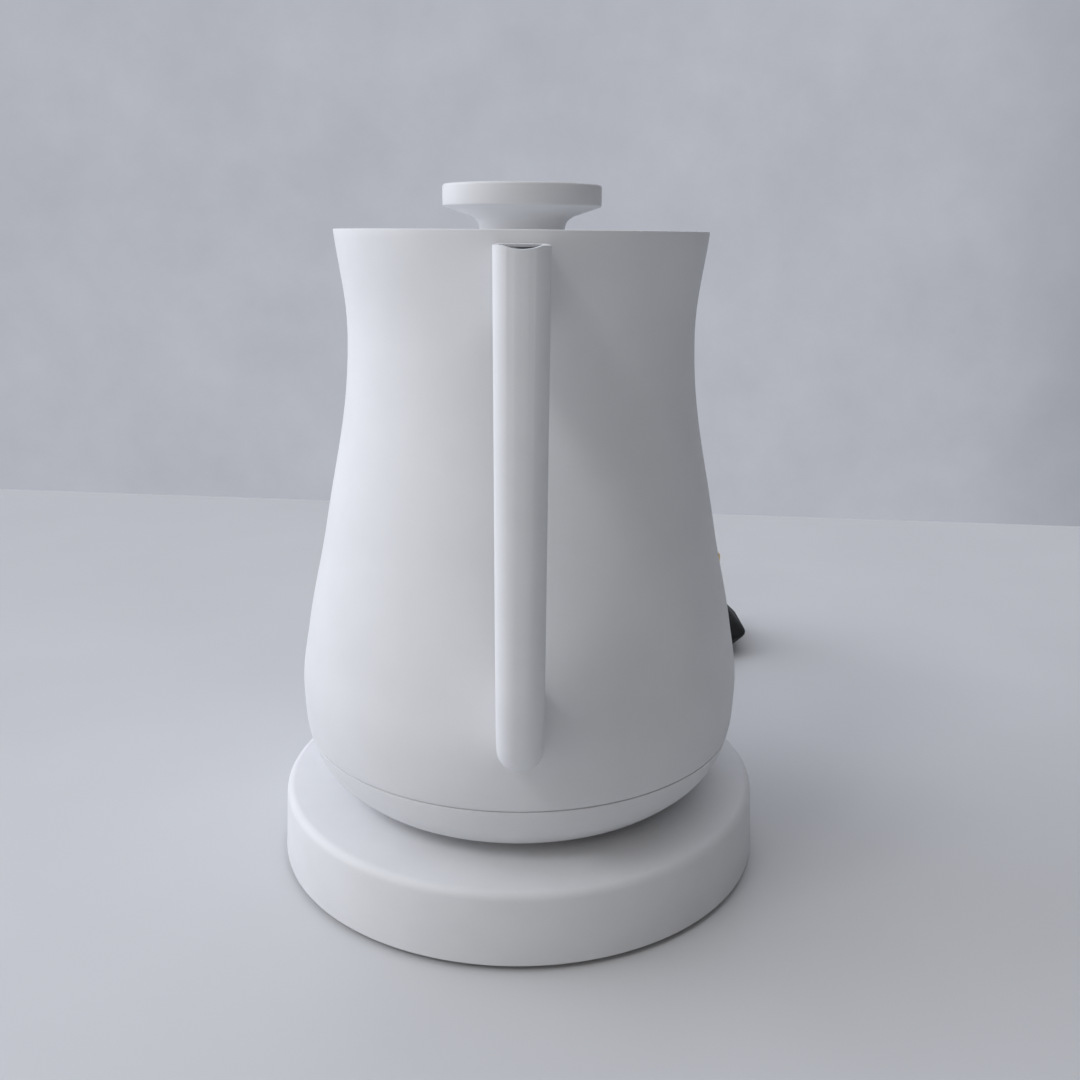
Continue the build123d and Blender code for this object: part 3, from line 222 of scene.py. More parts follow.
def turned(name, line, closed=True, steps=128):
    """Spin a line of (radius, height) points about the kettle's axis; it runs smoothly through soft ones."""
    bpy.ops.object.select_all(action="DESELECT")
    bpy.ops.curve.primitive_bezier_curve_add(location=(0, 0, 0))
    piece = bpy.context.object
    piece.name = name
    piece.data.dimensions = "3D"
    spline = piece.data.splines[0]
    spline.bezier_points.add(len(line) - 2)
    for knot, (radius, height, *soft) in zip(spline.bezier_points, line):
        knot.co = (radius * MM, 0, height * MM)
        knot.handle_left_type = knot.handle_right_type = "AUTO" if soft else "VECTOR"
    spline.use_cyclic_u = closed
    piece.data.resolution_u = 12 if any(len(point) > 2 for point in line) else 1
    bpy.ops.object.convert(target="MESH")
    bpy.ops.object.mode_set(mode="EDIT")
    bpy.ops.mesh.select_all(action="SELECT")
    bpy.ops.mesh.spin(steps=steps, angle=2 * pi, center=(0, 0, 0), axis=(0, 0, 1))
    bpy.ops.mesh.select_all(action="SELECT")
    bpy.ops.mesh.remove_doubles(threshold=0.005 * MM)
    bpy.ops.mesh.normals_make_consistent(inside=False)
    bpy.ops.object.mode_set(mode="OBJECT")
    return piece


def mark_edges(piece, wanted):
    """Open a piece for editing with only those edges selected whose two ends, in mm, are wanted."""
    pick(piece)
    bpy.ops.object.mode_set(mode="EDIT")
    bpy.ops.mesh.select_mode(type="EDGE")
    bpy.ops.mesh.select_all(action="DESELECT")
    mesh = bmesh.from_edit_mesh(piece.data)
    for edge in mesh.edges:
        a, b = (end.co / MM for end in edge.verts)
        edge.select_set(bool(wanted(a, b)))
    bmesh.update_edit_mesh(piece.data)


def round_marked(by, segments):
    """Round the marked edges and close the piece again."""
    bpy.ops.mesh.bevel(offset=by * MM, offset_type="OFFSET", segments=segments, profile=0.5)
    bpy.ops.object.mode_set(mode="OBJECT")


def round_ring(piece, radius, height, by, segments=6):
    """Round the circular edge at a radius and height."""
    def on_ring(point):
        return abs(point.xy.length - radius) < 0.02 and abs(point.z - height) < 0.02
    mark_edges(piece, lambda a, b: on_ring(a) and on_ring(b))
    round_marked(by, segments)


def round_edges(piece, by, segments=3, angle=40):
    """Round every edge that turns by more than the angle."""
    pick(piece)
    edging = piece.modifiers.new("edge rounding", "BEVEL")
    edging.width = by * MM
    edging.segments = segments
    edging.limit_method = "ANGLE"
    edging.angle_limit = radians(angle)
    bpy.ops.object.modifier_apply(modifier=edging.name)


def rod(start, end, radius, sides=64):
    """Round bar between two points, in mm."""
    start, end = Vector(start) * MM, Vector(end) * MM
    turn = (end - start).to_track_quat("Z", "Y").to_euler()
    bpy.ops.object.select_all(action="DESELECT")
    bpy.ops.mesh.primitive_cylinder_add(
        vertices=sides, radius=radius * MM, depth=(end - start).length,
        location=(start + end) / 2, rotation=turn,
    )
    bpy.ops.object.transform_apply(location=True, rotation=True, scale=True)
    return bpy.context.object


def block(low, high):
    """Square bar between two corners, in mm."""
    low, high = Vector(low) * MM, Vector(high) * MM
    bpy.ops.object.select_all(action="DESELECT")
    bpy.ops.mesh.primitive_cube_add(size=1, location=(low + high) / 2, scale=high - low)
    bpy.ops.object.transform_apply(location=True, rotation=True, scale=True)
    return bpy.context.object


def work(piece, how, *tools):
    """Cut, add or keep what is shared with each tool, and put the tool away."""
    for tool in tools:
        pick(piece)
        step = piece.modifiers.new("work", "BOOLEAN")
        step.operation = how
        step.solver = "EXACT"
        step.object = tool
        bpy.ops.object.modifier_apply(modifier=step.name)
        bpy.data.objects.remove(tool)
    return piece


def fit(piece, body, slot, finish, *nodes, angle=35):
    """Finish a piece and put it in the place of its CAD nodes."""
    pick(piece)
    bpy.ops.object.shade_smooth_by_angle(angle=radians(angle))
    if not piece.data.materials:
        piece.data.materials.append(finish)
    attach(piece, body)
    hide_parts(*nodes)


def finish_nodes(finish, *nodes):
    """Give CAD nodes that stay their material."""
    for node in nodes:
        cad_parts[node].data.materials.clear()
        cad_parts[node].data.materials.append(finish)


EXIT_ANGLE, EXIT_Z = radians(118), 7.0
OUT = Vector((cos(EXIT_ANGLE), sin(EXIT_ANGLE), 0))
RELIEF_R = 5.2


def at_exit(radius):
    """Point on the cord's line out of the base, in mm."""
    return OUT * radius + Vector((0, 0, EXIT_Z))


BASE_R, TOP_R, POST_HOLE_R = 71.0, 69.8, 15.8
BASE_LOW, BASE_TOP, BASE_CEILING = 1.5, 21.5, 19.3
SHOULDER = 2.3
base_shell = turned("base_shell", [
    (POST_HOLE_R, BASE_TOP), (TOP_R, BASE_TOP), (BASE_R, BASE_LOW), (68.8, BASE_LOW), (67.6, BASE_CEILING),
    (POST_HOLE_R, BASE_CEILING),
], steps=160)
round_ring(base_shell, TOP_R, BASE_TOP, SHOULDER, 8)
round_ring(base_shell, BASE_R, BASE_LOW, 0.5, 4)
round_ring(base_shell, POST_HOLE_R, BASE_TOP, 0.5, 4)
work(base_shell, "DIFFERENCE", rod(at_exit(60), at_exit(80), RELIEF_R + 0.05))

white_plastic, tree, shader, place = coloured("white textured plastic", roughness=0.5, Specular_IOR_Level=0.4)
tint(tree, shader, speckle(tree, place, 14), (0.79, 0.80, 0.815), (0.82, 0.83, 0.845))
sheen_range(tree, shader, speckle(tree, place, 5), 0.46, 0.56)
grain = relief(tree, shader, speckle(tree, place, 0.55, 4), 0.035, 0.55)
relief(tree, shader, speckle(tree, place, 7), 0.03, 0.35, grain)
fit(base_shell, "power_base", "white_plastic", white_plastic, "base_top_shell")


# ---- bottom plate and foot ----------------------------------------------------
# Black moulded plate that closes the base, with the cord clamp on it and three steel screws.
# A ring of soft rubber is pressed into its groove so that the base doesn't slide.
black_plastic, tree, shader, place = coloured("black moulded plastic", Specular_IOR_Level=0.4)
tint(tree, shader, speckle(tree, place, 8), (0.022, 0.022, 0.023), (0.036, 0.036, 0.037))
sheen_range(tree, shader, speckle(tree, place, 3), 0.42, 0.58)
relief(tree, shader, speckle(tree, place, 0.4), 0.03, 0.5)
finish_nodes(black_plastic, "base_bottom_plate", "cord_clamp")

FOOT_IN, FOOT_OUT, FOOT_TALL = 59.05, 64.95, 2.45
foot_ring = turned("foot_ring_rubber", [
    (FOOT_IN, 0), (FOOT_OUT, 0), (FOOT_OUT, FOOT_TALL), (FOOT_IN, FOOT_TALL),
])
for radius in (FOOT_IN, FOOT_OUT):
    round_ring(foot_ring, radius, 0, 0.7, 4)
black_rubber, tree, shader, place = coloured("black rubber", Specular_IOR_Level=0.35)
tint(tree, shader, speckle(tree, place, 9), (0.011, 0.011, 0.011), (0.021, 0.021, 0.021))
sheen_range(tree, shader, speckle(tree, place, 4), 0.50, 0.66)
relief(tree, shader, speckle(tree, place, 0.7), 0.03, 0.6)
fit(foot_ring, "power_base", "black_rubber", black_rubber, "foot_ring")

screw_steel, tree, shader, place = coloured("zinc plated steel", metallic=1.0)
tint(tree, shader, speckle(tree, place, 3), (0.50, 0.50, 0.51), (0.66, 0.66, 0.67))
sheen_range(tree, shader, speckle(tree, place, 1.2), 0.24, 0.40)
relief(tree, shader, speckle(tree, place, 0.3), 0.01, 0.3)
finish_nodes(screw_steel, "base_screws", "clamp_screws", "connector_screws")


# ---- connector post -----------------------------------------------------------
# Black heat-resistant post with a ring groove and a centre well, screwed under the top shell.
# Two brass rings and a brass pin are pressed into it; a loose shutter ring lies in the groove.
POST_R, GROOVE_OUT, GROOVE_IN, WELL_R, BORE_R = 15.5, 13.0, 9.0, 6.0, 2.05
FLANGE_R, FLANGE_LOW, FLANGE_TOP = 27.0, 15.1, 17.1
POST_TOP, GROOVE_FLOOR, WELL_FLOOR = 31.5, 23.0, 24.0
connector_post = turned("connector_post_moulding", [
    (BORE_R, FLANGE_LOW), (FLANGE_R, FLANGE_LOW), (FLANGE_R, FLANGE_TOP), (POST_R, FLANGE_TOP),
    (POST_R, POST_TOP), (GROOVE_OUT, POST_TOP), (GROOVE_OUT, GROOVE_FLOOR), (GROOVE_IN, GROOVE_FLOOR),
    (GROOVE_IN, POST_TOP), (WELL_R, POST_TOP), (WELL_R, WELL_FLOOR), (BORE_R, WELL_FLOOR),
], steps=96)
for radius, by in ((POST_R, 1.0), (GROOVE_OUT, 0.3), (GROOVE_IN, 0.6), (WELL_R, 0.6)):
    round_ring(connector_post, radius, POST_TOP, by, 5)
fit(connector_post, "power_base", "black_plastic", black_plastic, "connector_post")
finish_nodes(black_plastic, "connector_shutter")

brass, tree, shader, place = coloured("contact brass", metallic=1.0)
tint(tree, shader, speckle(tree, place, 4), (0.66, 0.47, 0.20), (0.83, 0.64, 0.32))
sheen_range(tree, shader, speckle(tree, place, 2), 0.20, 0.36)
relief(tree, shader, speckle(tree, place, 0.5, 2, (1, 1, 8)), 0.01, 0.4)
finish_nodes(brass, "contact_pin", "contact_ring_neutral", "contact_ring_earth")


# ---- strain relief and inner leads --------------------------------------------
# Tapered rubber sleeve, notched on alternate sides so that it bends with the cord.
# Its flange is caught behind the base's wall; inside, the cord splits into three wires.
SLEEVE_BORE, SLEEVE_END_R, SLEEVE_END = 3.45, 4.1, 95.0
COLLAR_R, COLLAR_IN, COLLAR_OUT, TAPER_START = 6.4, 65.9, 67.4, 72.6
NOTCH_START, NOTCH_PITCH, NOTCH_COUNT, NOTCH_LONG = 75.4, 2.3, 8, 1.1
NOTCH_DEPTH_R, NOTCH_HALF, PAST_SLEEVE = 3.9, 3.6, 8.0
relief_sleeve = turned("cord_sleeve", [
    (SLEEVE_BORE, COLLAR_IN), (COLLAR_R, COLLAR_IN), (COLLAR_R, COLLAR_OUT), (RELIEF_R, COLLAR_OUT),
    (RELIEF_R, TAPER_START), (SLEEVE_END_R, SLEEVE_END), (SLEEVE_BORE, SLEEVE_END),
], steps=64)
round_ring(relief_sleeve, SLEEVE_END_R, SLEEVE_END, 0.4, 4)
for i in range(NOTCH_COUNT):
    low = NOTCH_START + i * NOTCH_PITCH
    for side in (-1, 1):
        near, far = sorted((side * NOTCH_DEPTH_R, side * PAST_SLEEVE))
        along_x = ((near, -NOTCH_HALF), (far, NOTCH_HALF))
        along_y = ((-NOTCH_HALF, near), (NOTCH_HALF, far))
        corner, opposite = along_x if i % 2 else along_y
        work(relief_sleeve, "DIFFERENCE", block((*corner, low), (*opposite, low + NOTCH_LONG)))
relief_sleeve.rotation_mode = "QUATERNION"
relief_sleeve.rotation_quaternion = OUT.to_track_quat("Z", "Y")
relief_sleeve.location = (0, 0, EXIT_Z * MM)
pick(relief_sleeve)
bpy.ops.object.transform_apply(location=True, rotation=True, scale=True)
fit(relief_sleeve, "power_base", "black_rubber", black_rubber, "strain_relief")

wire_jacket, tree, shader, place = coloured("wire insulation", Specular_IOR_Level=0.4)
tint(tree, shader, speckle(tree, place, 9), (0.42, 0.06, 0.05), (0.56, 0.10, 0.08))
sheen_range(tree, shader, speckle(tree, place, 3), 0.36, 0.48)
finish_nodes(wire_jacket, "base_leads", "switch_wires")


# ---- supply cord --------------------------------------------------------------
# A round three-core lead in a black sheath. It leaves the back of the base,
# its spare length is wound flat behind the kettle, and it ends in the plug.
CORD_D = 6.8
EXIT = (-43.66, 82.11, 7.0)
COIL_X, COIL_Y = -12.0, 124.0
LEAD = [EXIT, (-50.6, 95.2, 6.3), (-55.5, 109.0, 4.0), (-56.0, 124.0, 3.6)]
TAIL = [(8.0, 160.0, 10.2), (22.0, 161.5, 9.4), (36.5, 162.5, 8.5)]
JOIN_ANGLE, LEAVE_ANGLE, FULL_TURNS = 172.0, 84, 3
POINTS_PER_TURN = 16
INNER_TURN, OUTER_TURN, TOP_TURN = 32.4, 39.6, 36.0
LOW_LAYER, HIGH_LAYER = 3.5, 10.35
TIE_Z = 4.45


def between(value, marks):
    """Value on the line through (position, value) marks."""
    for (a, low), (b, high) in zip(marks, marks[1:]):
        if value <= b:
            return low + (high - low) * (value - a) / (b - a)
    return marks[-1][1]


def coil_turns():
    """Points of the wound turns: outer and inner turn on the table, the rest on top of them."""
    radii = [
        (0, 43.0), (45, OUTER_TURN), (290, OUTER_TURN), (360, INNER_TURN), (820, INNER_TURN),
        (990, TOP_TURN), (1070, OUTER_TURN), (1100, OUTER_TURN),
    ]
    heights = [
        (0, LOW_LAYER), (225, LOW_LAYER), (270, TIE_Z + 0.2), (315, LOW_LAYER), (585, LOW_LAYER),
        (630, TIE_Z + 0.2), (652.5, 5.6), (700, HIGH_LAYER), (1100, HIGH_LAYER),
    ]
    step = 360 / POINTS_PER_TURN
    widen = 1 / cos(pi / POINTS_PER_TURN)
    points = []
    for i in range(int((JOIN_ANGLE - LEAVE_ANGLE + FULL_TURNS * 360) / step) + 1):
        along = i * step
        angle = radians(JOIN_ANGLE - along)
        radius = between(along, radii) * widen
        points.append((COIL_X + radius * cos(angle), COIL_Y + radius * sin(angle), between(along, heights)))
    return points


def cord_line(name, points):
    """Round cord whose smooth line is drawn by the points."""
    curve = bpy.data.curves.new(name, "CURVE")
    curve.dimensions = "3D"
    spline = curve.splines.new("NURBS")
    spline.points.add(len(points) - 1)
    for knot, point in zip(spline.points, points):
        knot.co = (*(Vector(point) * MM), 1)
    spline.order_u = 3
    spline.use_endpoint_u = True
    spline.resolution_u = 6
    curve.bevel_depth = CORD_D / 2 * MM
    curve.bevel_resolution = 6
    cord = bpy.data.objects.new(name, curve)
    bpy.context.scene.collection.objects.link(cord)
    return cord


supply_cord = cord_line("supply_cord", LEAD + coil_turns()[1:] + TAIL)
sheath, tree, shader, place = coloured("black cord sheath", Specular_IOR_Level=0.4)
tint(tree, shader, speckle(tree, place, 6), (0.012, 0.012, 0.012), (0.022, 0.022, 0.023))
sheen_range(tree, shader, speckle(tree, place, 2.5), 0.38, 0.52)
relief(tree, shader, speckle(tree, place, 0.5), 0.03, 0.5)
supply_cord.data.materials.append(sheath)
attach(supply_cord, "power_base")
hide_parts("cord_lead", "cord_coil", "cord_tail")


# ---- cord tie -----------------------------------------------------------------
# Flat woven strap pulled tight round the wound turns and closed on itself.
# It passes under the turns, and lifts them off the table a little.
TIE_ANGLE, TIE_WIDE, TIE_THICK = radians(250), 10.0, 0.8
OUTWARD = Vector((cos(TIE_ANGLE), sin(TIE_ANGLE), 0))
ALONG = Vector((-sin(TIE_ANGLE), cos(TIE_ANGLE), 0))
held = [(OUTER_TURN, TIE_Z), (INNER_TURN, TIE_Z), (TOP_TURN, HIGH_LAYER)]
bars = []
for radius, height in held:
    middle = Vector((COIL_X, COIL_Y, height)) + OUTWARD * radius
    bars.append(rod(middle - ALONG * TIE_WIDE / 2, middle + ALONG * TIE_WIDE / 2, CORD_D / 2 + 0.1, 32))
for bar in bars:
    bar.select_set(True)
bpy.ops.object.join()
tie = bpy.context.object
tie.name = "cord_strap"
bpy.ops.object.mode_set(mode="EDIT")
bpy.ops.mesh.select_all(action="SELECT")
bpy.ops.mesh.convex_hull()
bpy.ops.mesh.select_mode(type="FACE")
bpy.ops.mesh.select_all(action="DESELECT")
mesh = bmesh.from_edit_mesh(tie.data)
for face in mesh.faces:
    face.select_set(abs(face.normal.dot(ALONG)) > 0.9)
bmesh.update_edit_mesh(tie.data)
bpy.ops.mesh.delete(type="FACE")
bpy.ops.mesh.select_all(action="SELECT")
bpy.ops.mesh.normals_make_consistent(inside=False)
bpy.ops.object.mode_set(mode="OBJECT")
pick(tie)
strap = tie.modifiers.new("strap", "SOLIDIFY")
strap.thickness = TIE_THICK * MM
strap.offset = 1
bpy.ops.object.modifier_apply(modifier=strap.name)
round_edges(tie, 0.2, 2)
woven_strap, tree, shader, place = coloured("black woven strap", roughness=0.85, Sheen_Weight=0.3)
tint(tree, shader, speckle(tree, place, 1.0, 2, (3, 1, 1)), (0.022, 0.022, 0.023), (0.055, 0.055, 0.057))
relief(tree, shader, speckle(tree, place, 0.6, 2, (4, 1, 1)), 0.15, 0.8)
fit(tie, "power_base", "tie_strap", woven_strap, "cord_tie")


# ---- mains plug ---------------------------------------------------------------
# One-piece black moulded plug with three flat brass pins and a ribbed cable entry.
# It lies on its back behind the kettle, pins up, with a small fuse cover between them.
PLUG_X, PLUG_Y, PLUG_MID_Z, PLUG_TOP_Z = 78.0, 162.5, 8.5, 19.0
FOOT_WIDE, MID_WIDE, FACE_WIDE = 34.0, 46.0, 27.0


def raise_face(height, wider):
    """Draw the selected face up by a height in mm and make it wider by a factor."""
    bpy.ops.mesh.extrude_region_move(TRANSFORM_OT_translate={"value": (0, 0, height * MM)})
    bpy.ops.transform.resize(value=(wider, wider, 1), center_override=(PLUG_X * MM, PLUG_Y * MM, 0))


bpy.ops.object.select_all(action="DESELECT")
bpy.ops.mesh.primitive_plane_add(size=FOOT_WIDE * MM, location=(PLUG_X * MM, PLUG_Y * MM, 0))
bpy.ops.object.transform_apply(location=True, rotation=True, scale=True)
plug = bpy.context.object
plug.name = "mains_plug"
bpy.ops.object.mode_set(mode="EDIT")
bpy.ops.mesh.select_all(action="SELECT")
raise_face(PLUG_MID_Z, MID_WIDE / FOOT_WIDE)
raise_face(PLUG_TOP_Z - PLUG_MID_Z, FACE_WIDE / MID_WIDE)
bpy.ops.mesh.select_all(action="SELECT")
bpy.ops.mesh.normals_make_consistent(inside=False)
bpy.ops.object.mode_set(mode="OBJECT")
mark_edges(plug, lambda a, b: abs(a.z - b.z) > 1)
round_marked(10.0, 8)
round_edges(plug, 1.3, 4, 25)
cable_entry = turned("cable_entry", [
    (0, -4), (6.2, -4), (5.9, 1), (5.4, 2), (5.7, 3), (5.4, 5), (4.9, 6), (5.3, 7), (5.0, 9), (4.5, 10),
    (4.9, 11), (4.6, 13), (4.1, 14), (4.5, 15), (4.2, 19.2), (3.5, 20), (0, 20),
], closed=False, steps=48)
cable_entry.rotation_euler = (0, -pi / 2, 0)
cable_entry.location = Vector((PLUG_X - MID_WIDE / 2, PLUG_Y, PLUG_MID_Z)) * MM
pick(cable_entry)
bpy.ops.object.transform_apply(location=True, rotation=True, scale=True)
FUSE_BACK, FUSE_FRONT, FUSE_HALF, FUSE_GAP = PLUG_X - 7.8, PLUG_X + 2.6, 9.0, 0.6
LIFT_NOTCH_HALF = 2.5
fuse_cover = block((FUSE_BACK, PLUG_Y - FUSE_HALF, 18.5), (FUSE_FRONT, PLUG_Y + FUSE_HALF, 19.6))
round_edges(fuse_cover, 0.4, 3)
work(fuse_cover, "DIFFERENCE", block(
    (FUSE_FRONT - 1.4, PLUG_Y - LIFT_NOTCH_HALF, 19.2), (FUSE_FRONT + 0.4, PLUG_Y + LIFT_NOTCH_HALF, 20.0),
))
seat_half = FUSE_HALF + FUSE_GAP
fuse_seat = block(
    (FUSE_BACK - FUSE_GAP, PLUG_Y - seat_half, 18.6), (FUSE_FRONT + FUSE_GAP, PLUG_Y + seat_half, 20.0),
)
work(plug, "UNION", cable_entry)
work(plug, "DIFFERENCE", fuse_seat)
work(plug, "UNION", fuse_cover)
EARTH_X, LIVE_X, PIN_APART = PLUG_X + 7.4, PLUG_X - 14.8, 11.1
EARTH_SLOT, LIVE_SLOT = (8.1, 4.1), (4.1, 6.45)
for x, y, (long, wide) in (
    (EARTH_X, PLUG_Y, EARTH_SLOT),
    (LIVE_X, PLUG_Y - PIN_APART, LIVE_SLOT),
    (LIVE_X, PLUG_Y + PIN_APART, LIVE_SLOT),
):
    work(plug, "DIFFERENCE", block((x - long / 2, y - wide / 2, 10), (x + long / 2, y + wide / 2, 30)))
fit(plug, "power_base", "black_rubber", black_rubber, "plug_body")
finish_nodes(brass, "plug_pins")


# ---- kettle body --------------------------------------------------------------
# Pressed stainless steel wall, powder coated white outside and bare inside.
# It ends in a thin open rim on top, and at the seam over the bottom cover.
SEAM_Z, SEAM_GAP = 39.8, 0.3
WALL, COVER_WALL = 0.8, 2.0
SPOUT_HOLE_Z, SPOUT_HOLE_R = 77, 9.6
STEAM_PORT_Z, STEAM_PORT_R = 166, 3.0
WIRE_PORT_Z, WIRE_PORT_R = 58.8, 1.9
COVER_LOW_R, COVER_LOW_Z = 49.5, 23.4
BODY_LINE = [
    (COVER_LOW_R, COVER_LOW_Z), (54.2, 26.4, "soft"), (60.2, 33.5, "soft"), (63.4, 52.0, "soft"),
    (61.2, 70.0, "soft"), (55.0, 100.0, "soft"), (47.3, 151.0, "soft"), (50.05, 179.0),
]


def copy_of(piece, name):
    """Copy with a mesh of its own."""
    twin = piece.copy()
    twin.data = piece.data.copy()
    twin.name = name
    bpy.context.scene.collection.objects.link(twin)
    return twin


def saw(piece, point, normal):
    """Saw a piece through, and drop what lies on the normal's side; point in mm."""
    pick(piece)
    bpy.ops.object.mode_set(mode="EDIT")
    bpy.ops.mesh.select_all(action="SELECT")
    bpy.ops.mesh.bisect(plane_co=Vector(point) * MM, plane_no=normal, clear_outer=True)
    bpy.ops.object.mode_set(mode="OBJECT")


def thicken(piece, wall):
    """Give a sheet its wall inwards, in mm."""
    pick(piece)
    sheet = piece.modifiers.new("wall", "SOLIDIFY")
    sheet.thickness = wall * MM
    sheet.offset = -1
    sheet.use_even_offset = True
    bpy.ops.object.modifier_apply(modifier=sheet.name)


kettle_wall = turned("kettle_wall", BODY_LINE, closed=False, steps=192)
cover = copy_of(kettle_wall, "kettle_bottom")
body_core = copy_of(kettle_wall, "body_core")
pick(body_core)
bpy.ops.object.mode_set(mode="EDIT")
bpy.ops.mesh.select_all(action="SELECT")
bpy.ops.mesh.fill_holes(sides=0)
bpy.ops.mesh.select_all(action="SELECT")
bpy.ops.mesh.normals_make_consistent(inside=False)
bpy.ops.transform.shrink_fatten(value=0.04 * MM)
bpy.ops.object.mode_set(mode="OBJECT")

saw(kettle_wall, (0, 0, SEAM_Z + SEAM_GAP / 2), (0, 0, -1))
thicken(kettle_wall, WALL)
round_edges(kettle_wall, 0.22, 3)
work(
    kettle_wall, "DIFFERENCE",
    rod((0, 40, SPOUT_HOLE_Z), (0, 75, SPOUT_HOLE_Z), SPOUT_HOLE_R),
    rod((0, -60, STEAM_PORT_Z), (0, -30, STEAM_PORT_Z), STEAM_PORT_R),
    rod((0, -70, WIRE_PORT_Z), (0, -45, WIRE_PORT_Z), WIRE_PORT_R),
)
white_coat, tree, shader, place = coloured("white powder coat", roughness=0.5, Specular_IOR_Level=0.4)
tint(tree, shader, speckle(tree, place, 18), (0.79, 0.80, 0.815), (0.82, 0.83, 0.845))
sheen_range(tree, shader, speckle(tree, place, 6), 0.47, 0.56)
grain = relief(tree, shader, speckle(tree, place, 0.5, 4), 0.03, 0.5)
relief(tree, shader, speckle(tree, place, 4), 0.02, 0.3, grain)

bare_steel, tree, shader, place = coloured("bare stainless steel", metallic=1.0)
tint(tree, shader, speckle(tree, place, 5), (0.55, 0.55, 0.555), (0.66, 0.66, 0.665))
sheen_range(tree, shader, speckle(tree, place, 1.5, 3, (1, 1, 0.15)), 0.22, 0.36)
relief(tree, shader, speckle(tree, place, 0.8, 3, (1, 1, 0.1)), 0.01, 0.5)
kettle_wall.data.materials.append(white_coat)
kettle_wall.data.materials.append(bare_steel)
for face in kettle_wall.data.polygons:
    inward = Vector((face.center.x, face.center.y, 0)).normalized().dot(face.normal) < -0.5
    face.material_index = int(inward)
fit(kettle_wall, "kettle", "white_coat", white_coat, "body_shell")


# ---- bottom cover -------------------------------------------------------------
# White moulded cover under the seam, screwed to the heat spreader's studs from below.
# The kettle stands on the rib under it; the control's socket shows through its middle.
SOCKET_HOLE_R = 24.3
RIB_IN, RIB_OUT, RIB_LOW, RIB_TOP = 43.6, 46.0, 21.6, 24.0
SCREW_CIRCLE, BOSS_R, SCREW_HEAD_R, SCREW_R = 42, 3.6, 2.7, 1.45
saw(cover, (0, 0, SEAM_Z - SEAM_GAP / 2), (0, 0, 1))
mark_edges(cover, lambda a, b: max(a.z, b.z) < COVER_LOW_Z + 0.01)
bpy.ops.mesh.extrude_edges_move()
shrink = SOCKET_HOLE_R / COVER_LOW_R
bpy.ops.transform.resize(value=(shrink, shrink, 1), center_override=(0, 0, 0))
bpy.ops.mesh.select_all(action="SELECT")
bpy.ops.mesh.normals_make_consistent(inside=False)
bpy.ops.object.mode_set(mode="OBJECT")
round_ring(cover, COVER_LOW_R, COVER_LOW_Z, 0.35, 3)
thicken(cover, COVER_WALL)
round_edges(cover, 0.22, 3, 50)
rest_rib = turned("rest_rib", [
    (RIB_IN, RIB_LOW), (RIB_OUT, RIB_LOW), (RIB_OUT, RIB_TOP), (RIB_IN, RIB_TOP),
], steps=128)
for radius in (RIB_IN, RIB_OUT):
    round_ring(rest_rib, radius, RIB_LOW, 0.5, 3)
work(cover, "UNION", rest_rib)
for angle in (30, 150, 270):
    x, y = SCREW_CIRCLE * cos(radians(angle)), SCREW_CIRCLE * sin(radians(angle))
    work(cover, "UNION", rod((x, y, 24.4), (x, y, 31.0), BOSS_R, 32))
    work(
        cover, "DIFFERENCE",
        rod((x, y, 21.0), (x, y, 25.2), SCREW_HEAD_R, 32), rod((x, y, 25.0), (x, y, 32.0), SCREW_R, 24),
    )
fit(cover, "kettle", "white_plastic", white_plastic, "bottom_cover")
finish_nodes(screw_steel, "bottom_cover_screws", "control_screws")


# ---- heater, control and socket -----------------------------------------------
# A steel floor plate is welded into the wall; under it an aluminium spreader carries the
# heating tube. The black control with its snap discs and brass contacts hangs below.
cast_aluminium, tree, shader, place = coloured("cast aluminium", metallic=1.0)
tint(tree, shader, speckle(tree, place, 4), (0.55, 0.55, 0.56), (0.68, 0.68, 0.69))
sheen_range(tree, shader, speckle(tree, place, 2), 0.38, 0.56)
relief(tree, shader, speckle(tree, place, 0.8), 0.03, 0.6)
finish_nodes(cast_aluminium, "heat_spreader", "heating_element")

rolled_steel, tree, shader, place = coloured("rolled steel sheet", metallic=1.0)
tint(tree, shader, speckle(tree, place, 6), (0.54, 0.54, 0.55), (0.66, 0.66, 0.67))
sheen_range(tree, shader, speckle(tree, place, 1.2, 3, (8, 1, 1)), 0.24, 0.40)
relief(tree, shader, speckle(tree, place, 0.4, 2, (10, 1, 1)), 0.01, 0.5)
finish_nodes(rolled_steel, "heater_plate", "strainer", "element_terminals", "dry_boil_bimetals")
finish_nodes(black_plastic, "control_housing", "kettle_socket")
finish_nodes(brass, "socket_contacts")

silicone, tree, shader, place = coloured(
    "clear silicone rubber", Subsurface_Weight=0.25, Subsurface_Scale=0.002,
)
tint(tree, shader, speckle(tree, place, 7), (0.68, 0.68, 0.67), (0.76, 0.76, 0.75))
sheen_range(tree, shader, speckle(tree, place, 3), 0.34, 0.46)
finish_nodes(silicone, "bottom_seal", "steam_seal", "knob_washer")


# ---- spout --------------------------------------------------------------------
# Steel tube drawn to a slender neck, bent twice and welded over the strainer.
# Its lip is cut at an angle, and it has the same white powder coat as the wall.
SPOUT_KNOTS = [
    (47.4, 76.0, 12.5), (75.6, 82.0, 9.9), (102.2, 110.7, 7.2), (107.8, 152.1, 5.7),
    (134.6, 175.5, 5.2), (156.0, 175.5, 5.2),
]
ROOT_RUN, RISE_RUN = Vector((0, 51.6, 11.0)).normalized(), Vector((0, 12.0, 88.5)).normalized()
SPOUT_RUNS = [ROOT_RUN, ROOT_RUN, RISE_RUN, RISE_RUN, Vector((0, 1, 0)), Vector((0, 1, 0))]
LOW_BEND, HIGH_BEND = (34.0, 70.25), (27.0, 82.28)
LOW_REACH, HIGH_REACH = (radius * 4 / 3 * tan(radians(turn / 4)) for radius, turn in (LOW_BEND, HIGH_BEND))
